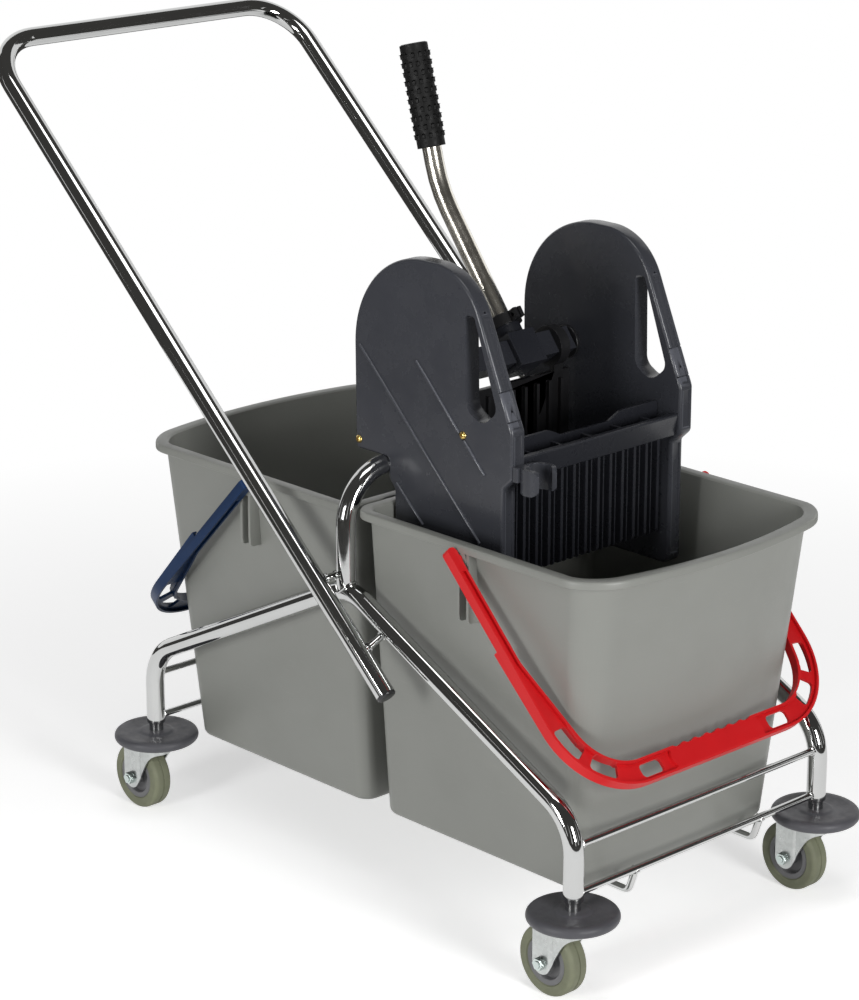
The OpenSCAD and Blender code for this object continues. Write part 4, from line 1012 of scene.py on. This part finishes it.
cutters = []
for sign in (-1, 1):
    pocket = [(POCKET_AT, BAIL_IN + EDGE, 0), (ARM_TURN, BAIL_IN + EDGE, ARM_R),
              (BAR_IN + EDGE, BAIL_IN + EDGE - WAIST, WAIST_R), (BAR_IN + EDGE, GRIP_HALF + 1, 1.5),
              (REACH - BAR / 2, GRIP_HALF + 8, 14), (REACH - EDGE, GRIP_HALF + 1, 1.5),
              (REACH - EDGE, BAIL_OUT - EDGE, BAIL_R - EDGE), (POCKET_AT, BAIL_OUT - EDGE, 0)]
    pocket = rounded([(u, sign * v, r) for u, v, r in pocket], BAIL_STEPS)
    cutters.append(plate("pocket", pocket, flat, WEB_HALF, POCKET_TOP))
    cutters.append(plate("pocket", pocket, flat, -POCKET_TOP, -WEB_HALF))
    cutters += [arc_slot(sign, 4, 31), arc_slot(sign, 40, 64), bar_slot(sign)]
for k in range(-3, 4):
    foot = Vector(((BAR_IN - SCALLOP_SET) * MM, SCALLOP_PITCH * k, -CUT))
    cutters.append(peg("scallop", SCALLOP_R, foot, foot + Vector((0, 0, 2 * CUT)), 48))
print(len(cutters), "cutters carve the bail")
for cutter in cutters:
    carve(front_bail, cutter)
for sign in (-1, 1):
    peg_in = sign * (wall_half(PIVOT.z) + 2) * MM
    carve(front_bail, peg("peg", PEG_R, (0, peg_in, 0), (0, sign * (BAIL_IN + 1) * MM, 0)), "UNION")
merge_mesh(front_bail, 0.05 * MM)
merge_flat(front_bail)
soften(front_bail, 0.9 * MM, 2)

# %% Tip the bails to where they hang
BAIL_DROP = 46
hang = Matrix.Translation(PIVOT) @ Matrix.Rotation(radians(BAIL_DROP), 4, "Y")
# The rear bail is snapped in the other way up, so its skirt is on the upper side
rear_bail = twin(front_bail, "rear_bail_grip", mirror_x @ hang @ Matrix.Scale(-1, 4, (0, 0, 1)))
front_bail.data.transform(hang)
settle(front_bail, "front_bail", "red_plastic", "bail_front")
settle(rear_bail, "rear_bail", "blue_plastic", "bail_rear")

# %% [markdown]
# ## Wringer cheeks
# The wringer's two cheeks are thick mouldings with well rounded edges, a long hand slot and three raised
# ribs. A notch at the back hangs on the hoop. The outline is extruded and bevelled before the slot is cut,
# so the outer edge gets a large radius and the slot a small one. The sloping front edge has a shallow
# channel, two seams and two dowel holes.

# %% Cheek blank
CHEEK_IN, CHEEK_OUT = 120 * MM, 140 * MM
LOW_BACK = (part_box("rear_wall")[0].x - HOOP_X) / MM - 2
SLOPE_X, SLOPE_Z = 129, 239
NOSE_X, NOSE_Z = 199, 77
cheek_corners = [(-44, 10, 6), (-46, SLOPE_Z, 108), (SLOPE_X, SLOPE_Z, 75), (NOSE_X, NOSE_Z, 12),
                 (NOSE_X, 25, 8), (186, 13, 4), (186, -130, 10), (LOW_BACK, -130, 10), (LOW_BACK, -24, 6),
                 (9, -14, 4), (9, 10, 4)]
cheek = plate("far_cheek_moulding", rounded(cheek_corners, 24, 2.0), across, CHEEK_IN, CHEEK_OUT)
round_edges(cheek, 3 * MM, 4, clamp=False)
open_mesh(cheek, "FACE")
LARGE = 500 * MM * MM
CHANNEL_EDGE, CHANNEL_WALL, CHANNEL_DEEP = 2 * MM, 0.6 * MM, 1.2 * MM
print(pick_faces(lambda face: face.normal.x > 0.8 and face.calc_area() > LARGE), "front faces get a channel")
bpy.ops.mesh.inset(thickness=CHANNEL_EDGE, depth=0, use_individual=True)
bpy.ops.mesh.inset(thickness=CHANNEL_WALL, depth=-CHANNEL_DEEP, use_individual=True)
close_mesh()

# %% Cheek slot, holes and ribs
slot_corners = [(128, 192, 5), (142, 192, 5), (177, 95, 12), (154, 76, 16), (130, 90, 16)]
ribs = [((-36, 129), (152, -54)), ((54, 128), (159, 23)), ((LOW_BACK + 4, -16), (LOW_BACK + 46, -54))]
CHEEK_RIB_R, CHEEK_RIB_Y = 1.7 * MM, CHEEK_OUT + 0.3 * MM
SCREW_SPOTS = [(-38, 21), (126, 60)]
RECESS_R, RECESS_DEEP = 5.5 * MM, 0.02 * MM
NOTCH_R = TUBE_R + 0.3 * MM
BUSH_X, BUSH_Z, BUSH_R, BUSH_DEEP = 26 * MM, 97 * MM, 15.05 * MM, 14 * MM
BEFORE, BEYOND = CHEEK_IN - 5 * MM, CHEEK_OUT + 5 * MM
carve(cheek, plate("slot", rounded(slot_corners, 10), across, CHEEK_IN - 9 * MM, CHEEK_OUT + 9 * MM))
carve(cheek, peg("notch", NOTCH_R, (0, BEFORE, 0), (0, BEYOND, 0), 48))
carve(cheek, peg("bush_hole", BUSH_R, (BUSH_X, BEFORE, BUSH_Z), (BUSH_X, CHEEK_IN + BUSH_DEEP, BUSH_Z)))
for (x0, z0), (x1, z1) in ribs:
    low, high = (x1 * MM, CHEEK_RIB_Y, z1 * MM), (x0 * MM, CHEEK_RIB_Y, z0 * MM)
    carve(cheek, peg("rib", CHEEK_RIB_R, high, low, 16), "UNION")
for x, z in SCREW_SPOTS:
    seat = Vector((x * MM, 0, z * MM)) + Vector((0, CHEEK_OUT, 0))
    deep, high = Vector((0, RECESS_DEEP, 0)), Vector((0, 4 * MM, 0))
    carve(cheek, peg("recess", RECESS_R, seat - deep, seat + high))

# %% Seams and dowel holes on the slope
slope_way = Vector((NOSE_X - SLOPE_X, NOSE_Z - SLOPE_Z)).normalized()
slope_out = Vector((-slope_way.y, slope_way.x))
DOWEL_R = 1.4 * MM
seam_box = ((-0.7, -2.4), (0.7, -2.4), (0.7, 4), (-0.7, 4))


def slope_at(height):
    return SLOPE_X + (SLOPE_Z - height) * (NOSE_X - SLOPE_X) / (SLOPE_Z - NOSE_Z)


for height in (118, 88):
    spot = Vector((slope_at(height), height))
    corners = [(spot + slope_way * a + slope_out * b) * MM for a, b in seam_box]
    carve(cheek, plate("seam", corners, across, BEFORE, BEYOND))
for height in (196, 98):
    spot = Vector((slope_at(height), 0, height)) * MM + Vector((0, CHEEK_IN + 10 * MM, 0))
    out = Vector((slope_out.x, 0, slope_out.y)) * MM
    carve(cheek, peg("dowel_hole", DOWEL_R, spot - out * 4, spot + out * 4, 16))
merge_mesh(cheek)
round_edges(cheek, 0.8 * MM, 2, 50)
smooth(cheek)
open_mesh(cheek, "FACE")
pick_faces(lambda face: abs(face.normal.y) > 0.9999)
bpy.ops.mesh.faces_shade_flat()
close_mesh()
cheek.data.transform(Matrix.Translation((HOOP_X, 0, HOOP_Z)))
near_cheek = twin(cheek, "near_cheek_moulding", MIRROR_Y)
settle(cheek, "wringer", "wringer_plastic", "cheek_far")
settle(near_cheek, "wringer", "wringer_plastic", "cheek_near")

# %% [markdown]
# Brass screws with a domed head and a cross slot hold the cheeks to the wall and floor of the wringer. A
# screw is turned from its profile, and two thin plates cut its cross.

# %% Brass screws
screw_profile = [(0, 3), (1.6, 2.85), (3.0, 2.35), (4.0, 1.5), (4.5, 0.5), (4.5, 0.05), (2.25, 0.05),
                 (2.25, -11), (0, -11)]
CROSS_LONG, CROSS_HALF = 2.6, 0.5
CROSS_LOW, CROSS_HIGH = 1.4 * MM, 5 * MM
screws = []
for sign in (-1, 1):
    for x, z in SCREW_SPOTS:
        at = Vector((HOOP_X + x * MM, sign * CHEEK_OUT, HOOP_Z + z * MM))
        screw = turned("screw", [(r * MM, h * MM) for r, h in screw_profile], at, (0, sign, 0), 40)
        for a, b in ((CROSS_LONG, CROSS_HALF), (CROSS_HALF, CROSS_LONG)):
            cross = rounded([(-a, -b, 0), (a, -b, 0), (a, b, 0), (-a, b, 0)])
            cutter = plate("cross", cross, across, at.y + sign * CROSS_LOW, at.y + sign * CROSS_HIGH)
            cutter.data.transform(Matrix.Translation((at.x, 0, at.z)))
            carve(screw, cutter)
        screws.append(screw)
screw_set = joined("cheek_screw_set", screws)
merge_mesh(screw_set, TINY)
smooth(screw_set, 35)
settle(screw_set, "wringer", "brass", "cheek_screws")

# %% [markdown]
# ## The rest of the wringer
# The grille is a comb of wide and thin fins under a plate with a dipped lip. One fin of each kind is drawn
# and copied across, which is quicker to change than a comb cut from a block.

# %% Grille
PANEL_BACK, PANEL_FRONT, FIN_LOW, FIN_HIGH, LIP_Z = 161, 165, -95, 17, 56
LIP_DIP = LIP_Z - 9
INNER_Y = 119.9
FIN_COUNT, FIN_PITCH, THIN_SHIFT = 13, 19, 8 * MM
BRACE_PITCH, BRACE_FRONT, BRACE_LOW, BRACE_HIGH = 46, 184, 23, 43


def fin(name, depth, half, foot):
    front = PANEL_BACK + depth
    corners = [(PANEL_BACK, FIN_LOW, 0), (front, FIN_LOW, foot), (front, FIN_HIGH, 0),
               (PANEL_BACK, FIN_HIGH, 0)]
    return plate(name, rounded(corners, 6), across, -half * MM, half * MM)


wide_fin = fin("wide_fin", 13, 2.0, 6)
thin_fin = fin("thin_fin", 12.5, 0.9, 4)
brace_corners = [(PANEL_FRONT - 1, BRACE_LOW, 0), (BRACE_FRONT, BRACE_LOW, 2), (BRACE_FRONT, BRACE_HIGH, 2),
                 (PANEL_FRONT - 1, BRACE_HIGH, 0)]
brace = plate("brace", rounded(brace_corners, 4), across, -2 * MM, 2 * MM)
lip = [(-INNER_Y, 5, 0), (INNER_Y, 5, 0), (INNER_Y, LIP_Z, 3), (62, LIP_Z, 12), (42, LIP_DIP, 12),
       (-30, LIP_DIP, 12), (-50, LIP_Z, 12), (-INNER_Y, LIP_Z, 3)]
combs = [plate("lip", rounded(lip, 6), lengthways, PANEL_BACK * MM, PANEL_FRONT * MM)]
for k in range(FIN_COUNT):
    y = (k - FIN_COUNT // 2) * FIN_PITCH * MM
    combs.append(twin(wide_fin, "fin", Matrix.Translation((0, y, 0))))
    if k < FIN_COUNT - 1:
        combs.append(twin(thin_fin, "fin", Matrix.Translation((0, y + THIN_SHIFT, 0))))
for k in range(-2, 3):
    combs.append(twin(brace, "brace", Matrix.Translation((0, BRACE_PITCH * k * MM, 0))))
discard(wide_fin, thin_fin, brace)
grille = joined("front_grille_comb", combs)
soften(grille, 0.5 * MM, 2)
grille.data.transform(Matrix.Translation((HOOP_X, 0, HOOP_Z)))
# The grille takes the darker copy of the wringer plastic, which paints its shade.
settle(grille, "wringer", "wringer_plastic", "front_grille", finish="painted_shade_wringer")

# %% [markdown]
# The pole clip is an open ring that holds a mop's pole. Its jaw is drawn from above and extruded, a rounded
# plate seen from the side trims the tips of the jaw, and a tab joins it to the cheek.

# %% Pole clip
CLIP_OUT, CLIP_IN = 19, 14
JAW_OPEN, JAW_STEPS = 44, 40
TAB_LOW = 12 * MM
clip_low, clip_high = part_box("pole_clip")
CLIP_H = clip_high.z - clip_low.z
jaw_turns = [radians(JAW_OPEN + (360 - 2 * JAW_OPEN) * k / JAW_STEPS) for k in range(JAW_STEPS + 1)]
jaw = [Vector((CLIP_OUT * cos(a), CLIP_OUT * sin(a))) * MM for a in jaw_turns]
jaw += [Vector((CLIP_IN * cos(a), CLIP_IN * sin(a))) * MM for a in reversed(jaw_turns)]
clip = plate("pole_clip_jaw", jaw, flat, 0, CLIP_H)
jaw_tip = CLIP_OUT * cos(radians(JAW_OPEN)) + 0.5
trim = rounded([(-30, 0, 0), (jaw_tip, 0, 10), (jaw_tip, CLIP_H / MM, 10), (-30, CLIP_H / MM, 0)])
carve(clip, plate("trim", trim, across, -30 * MM, 30 * MM), "INTERSECT")
tab = [(-CLIP_OUT, -20, 1), (-CLIP_OUT + 7, -20, 1), (-CLIP_OUT + 12, -4, 0), (-CLIP_OUT, -4, 0)]
carve(clip, plate("tab", rounded(tab, 4), flat, TAB_LOW, CLIP_H), "UNION")
clip_middle = (clip_low.x + CLIP_OUT * MM, clip_high.y - CLIP_OUT * MM, clip_low.z)
clip.data.transform(Matrix.Translation(clip_middle))
merge_mesh(clip)
soften(clip, 1.4 * MM, 3)
settle(clip, "wringer", "wringer_plastic", "pole_clip")

# %% [markdown]
# The bar, floor, rear wall and press are moulded pieces whose solids already have the right shape. Each
# gets a copy with its loose triangles merged into flat faces and its edges rounded, as a mould leaves them.

# %% Moulded copies
# Most of these take the darker copy of the wringer plastic, which paints their shade.
for node, body, slot, finish, width in (
        ("front_bar", "wringer", "wringer_plastic", "painted_shade_wringer", 1.5),
        ("wringer_floor", "wringer", "wringer_plastic", "painted_shade_wringer", 0.5),
        ("rear_wall", "wringer", "wringer_plastic", "painted_shade_wringer", 0.6),
        ("shaft_bushes", "wringer", "black_plastic", "black_plastic", 0.8),
        ("press_shaft", "press_lever", "black_plastic", "painted_shade_wringer", 1.5),
        ("press_plate", "press_lever", "black_plastic", "black_plastic", 0.8),
        ("lever_socket", "press_lever", "black_plastic", "painted_shade_wringer", 2.5),
        ("lever_collar", "press_lever", "black_plastic", "black_plastic", 1.0)):
    settle(softened_copy(node, node + "_moulding", width * MM), body, slot, node, finish=finish)

# %% [markdown]
# ## Lever
# The lever is a bent tube, and its grip is a rubber sleeve with rows of square knobs. The grip starts as a
# cylinder. Its side is divided into rows, faces are picked in every second row, and each pair of them is
# inset and pushed out.

# %% Lever tube
LEVER_Y = 40 * MM
LEAN, LEAN_TOP = radians(37), radians(15)
TUBE_START, KNEE_AT, TOP_RUN, KNEE_BEND = 22.05, 211, 158, 150 * MM


def lever_point(start, distance, lean):
    return start + Vector((-sin(lean), 0, cos(lean))) * distance * MM


LEVER_FOOT = SHAFT + Vector((0, LEVER_Y, 0))
lever_start = lever_point(LEVER_FOOT, TUBE_START, LEAN)
knee = lever_point(LEVER_FOOT, KNEE_AT, LEAN)
lever_end = lever_point(knee, TOP_RUN, LEAN_TOP)
lever = bent_tube("lever_pipe", [tuple(lever_start), tuple(knee) + (KNEE_BEND,), tuple(lever_end)], TUBE_R)
smooth(lever)
settle(lever, "press_lever", "chrome_tube", "lever_tube", finish="lever_chrome")

# %% Knobbed grip
GRIP_L, GRIP_R, KNOB_OUT, CAP = 116 * MM, 16 * MM, 1.3 * MM, 4.1 * MM
GRIP_ROWS, GRIP_COLUMNS = 23, 24
PLAIN_ROWS = 2
KNOB_EDGE, CAP_EDGE, CAP_RISE = 0.5 * MM, 2.5 * MM, 1.2 * MM
deselect()
bpy.ops.mesh.primitive_cylinder_add(vertices=GRIP_COLUMNS * 2, radius=GRIP_R, depth=GRIP_L)
grip = bpy.context.object
grip.name = "lever_grip_sleeve"
open_mesh(grip, "EDGE")
bpy.ops.mesh.select_all(action="DESELECT")
mesh = bmesh.from_edit_mesh(grip.data)
for edge in mesh.edges:
    edge.select_set(abs(edge.verts[0].co.z - edge.verts[1].co.z) > MM)
bmesh.update_edit_mesh(grip.data)
bpy.ops.mesh.subdivide(number_cuts=GRIP_ROWS - 1)


def is_knob(face):
    spot = face.calc_center_median()
    row = int((spot.z / GRIP_L + 0.5) * GRIP_ROWS)
    column = int((atan2(spot.y, spot.x) / (2 * pi) + 0.5) * GRIP_COLUMNS * 2)
    on_side = abs(face.normal.z) < 0.5 and PLAIN_ROWS <= row < GRIP_ROWS - PLAIN_ROWS
    return on_side and row % 2 == 0 and (column // 2 + row // 2) % 2 == 0


print(pick_faces(is_knob), "grip faces raised")
bpy.ops.mesh.inset(thickness=KNOB_EDGE, depth=KNOB_OUT)
pick_faces(lambda face: face.normal.z > 0.9)
bpy.ops.mesh.inset(thickness=CAP_EDGE, depth=CAP_RISE)
close_mesh()
middle = lever_point(lever_end, (CAP - GRIP_L / 2) / MM, LEAN_TOP)
grip.data.transform(Matrix.Translation(middle) @ Matrix.Rotation(-LEAN_TOP, 4, "Y"))
soften(grip, 0.7 * MM, 2)
settle(grip, "press_lever", "grip_rubber", "lever_grip")

# %% [markdown]
# ## Pieces that keep their solids
# The stub rods and the castor stems are plain turned steel, so their solids stay and only take a finish.

# %% Finishes for the solids that stay
for node in ("handle_stubs", "castor_stems"):
    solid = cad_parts[node]
    solid.data.materials.clear()
    solid.data.materials.append(FINISHES["chrome_tube"])
    print(node, "keeps its solid")

# %% [markdown]
# ## Stage
# The floor is pale and keeps the shadow. Far from the trolley it fades to plain white, so that it meets the
# white background without a line. The camera, and what shines in the chrome, see a white surround.

# %% Floor
FLOOR_SIZE = 24
FLOOR_GLOW = 0.53
FADE_FROM, FADE_TO = 0.55, 1.6
WHITE = (1, 1, 1, 1)


def background_rays(owner):
    rays = add(owner, "ShaderNodeLightPath", {})
    either = add(owner, "ShaderNodeMath", operation="MAXIMUM",
                 inputs={0: rays.outputs["Is Camera Ray"], 1: rays.outputs["Is Glossy Ray"]})
    return add(owner, "ShaderNodeMath", operation="MAXIMUM",
               inputs={0: either.outputs[0], 1: rays.outputs["Is Transmission Ray"]}).outputs[0]


deselect()
bpy.ops.mesh.primitive_plane_add(size=FLOOR_SIZE)
floor = bpy.context.object
floor.name = "studio_floor"
paper = bpy.data.materials.new("floor_paper")
paper.use_nodes = True
tree = paper.node_tree
paper_shader = tree.nodes["Principled BSDF"]
paper_shader.inputs["Base Color"].default_value = (0.93, 0.93, 0.93, 1)
paper_shader.inputs["Roughness"].default_value = 0.9
paper_shader.inputs["Specular IOR Level"].default_value = 0.0
place = add(paper, "ShaderNodeTexCoord", {}).outputs["Object"]
reach = add(paper, "ShaderNodeVectorMath", {0: place}, operation="LENGTH").outputs["Value"]
white = add(paper, "ShaderNodeEmission", {"Color": WHITE, "Strength": 1.0})
glow = add(paper, "ShaderNodeMath", {0: background_rays(paper), 1: FLOOR_GLOW}, operation="MULTIPLY")
lit = add(paper, "ShaderNodeEmission", {"Color": WHITE, "Strength": glow.outputs[0]})
both = add(paper, "ShaderNodeAddShader", {0: paper_shader.outputs["BSDF"], 1: lit.outputs["Emission"]})
fade = add(paper, "ShaderNodeMixShader", {0: spread(paper, reach, 0, 1, FADE_FROM, FADE_TO),
                                          1: both.outputs["Shader"], 2: white.outputs["Emission"]})
tree.links.new(fade.outputs["Shader"], tree.nodes["Material Output"].inputs["Surface"])
floor.data.materials.append(paper)
print("floor fades to white from", FADE_FROM, "to", FADE_TO, "m")

# %% Surround
SOFT_LIGHT = 0.12
world = bpy.data.worlds.new("studio")
world.use_nodes = True
bpy.context.scene.world = world
soft = world.node_tree.nodes["Background"]
soft.inputs["Color"].default_value = WHITE
soft.inputs["Strength"].default_value = SOFT_LIGHT
seen = add(world, "ShaderNodeBackground", {"Color": WHITE, "Strength": 1.0})
choice = add(world, "ShaderNodeMixShader", {0: background_rays(world), 1: soft.outputs["Background"],
                                            2: seen.outputs["Background"]})
world.node_tree.links.new(choice.outputs["Shader"], world.node_tree.nodes["World Output"].inputs["Surface"])
print("surround lights with", SOFT_LIGHT, "and shows white")

# %% [markdown]
# Chrome shows only what stands round it, and in a white room it would vanish. A studio puts black flags
# there. They are large dark cards round and over the trolley, and a dark ring on the floor far from it,
# seen by reflections alone: they cast no shadow and take no light away.

# %% Black flags
AIM = Vector((0, 0, 0.45))
WALL_FLAGS, WALL_FIRST, WALL_TURN, WALL_RISE = 8, -59, 30, 24
WALL_FAR, WALL_WIDE, WALL_HIGH = 5.0, 2.45, 5.4
ROOF_TURN, ROOF_RISE, ROOF_FAR, ROOF_WIDE = 46, 89, 4.4, 7.0
RING_OUT, RING_IN, RING_Z = 8, 1.5, 3 * MM
black = bpy.data.materials.new("black_flag")
black.use_nodes = True
black_shader = black.node_tree.nodes["Principled BSDF"]
black_shader.inputs["Base Color"].default_value = (0.012, 0.012, 0.012, 1)
black_shader.inputs["Roughness"].default_value = 1.0
black_shader.inputs["Specular IOR Level"].default_value = 0.0
black_shader.inputs["Emission Color"].default_value = (1.0, 0.97, 0.92, 1)
black_shader.inputs["Emission Strength"].default_value = 0.05


def aimed(azimuth, elevation, distance):
    a, e = radians(azimuth), radians(elevation)
    back = Vector((sin(a) * cos(e), -cos(a) * cos(e), sin(e)))
    return {"location": AIM + back * distance, "rotation": back.to_track_quat("Z", "Y").to_euler()}


def hide_card(card, name):
    card.name = name
    card.data.materials.append(black)
    for ray in ("visible_camera", "visible_diffuse", "visible_shadow", "visible_transmission"):
        setattr(card, ray, False)


def flag(name, azimuth, elevation, distance, width, height):
    deselect()
    bpy.ops.mesh.primitive_plane_add(size=1, **aimed(azimuth, elevation, distance))
    bpy.context.object.scale = (width, height, 1)
    hide_card(bpy.context.object, name)


for k in range(WALL_FLAGS):
    azimuth = WALL_FIRST + WALL_TURN * k
    flag("wall_flag_%d" % k, azimuth, WALL_RISE, WALL_FAR, WALL_WIDE, WALL_HIGH)
flag("roof_flag", ROOF_TURN, ROOF_RISE, ROOF_FAR, ROOF_WIDE, ROOF_WIDE)
deselect()
bpy.ops.mesh.primitive_circle_add(vertices=64, radius=RING_OUT, fill_type="NGON", location=(0, 0, RING_Z))
ring_card = bpy.context.object
open_mesh(ring_card, "FACE")
bpy.ops.mesh.inset(thickness=RING_OUT - RING_IN)
bpy.ops.mesh.delete(type="FACE")
close_mesh()
hide_card(ring_card, "floor_flag")
print(WALL_FLAGS, "wall flags, one over the trolley and a ring on the floor")

# %% [markdown]
# ## Light and camera
# Three large soft lamps light the trolley at a plain level. The key lamp stands to the right of the camera,
# the fill lamp to its left, and a weaker one hangs overhead. The camera stands where the photograph was
# taken from.


# %% Lamps
def lamp(name, azimuth, elevation, distance, size, power):
    deselect()
    bpy.ops.object.light_add(type="AREA", **aimed(azimuth, elevation, distance))
    made = bpy.context.object
    made.name = name
    made.data.shape = "RECTANGLE"
    made.data.size = size[0]
    made.data.size_y = size[1]
    made.data.energy = power
    print(name, "gives", power, "W")


lamp("key_lamp", azimuth=80, elevation=11, distance=3.6, size=(0.8, 1.3), power=68)
lamp("fill_lamp", azimuth=6, elevation=9, distance=3.6, size=(0.8, 1.2), power=57)
lamp("top_lamp", azimuth=60, elevation=74, distance=3.4, size=(1.6, 1.2), power=22)

# %% Camera
CAMERA_AT = Vector((2516.6, -2354.7, 1390.35)) * MM + Vector((0, 0, FOOT_Z))
CAMERA_AIM = Vector((22.9, 0, 296.35)) * MM + Vector((0, 0, FOOT_Z))
FOCAL_PIXELS = 3144
IMAGE_HEIGHT = 1000
SENSOR = 36
camera_turn = (CAMERA_AT - CAMERA_AIM).to_track_quat("Z", "Y").to_euler()
bpy.ops.object.camera_add(location=CAMERA_AT, rotation=camera_turn)
camera = bpy.context.object
camera.data.sensor_fit = "VERTICAL"
camera.data.sensor_height = SENSOR
camera.data.lens = FOCAL_PIXELS / IMAGE_HEIGHT * SENSOR
camera.data.clip_end = 60
bpy.context.scene.camera = camera
bpy.context.scene.view_settings.view_transform = "Standard"
print("camera with a", round(camera.data.lens, 1), "mm lens at", CAMERA_AT)
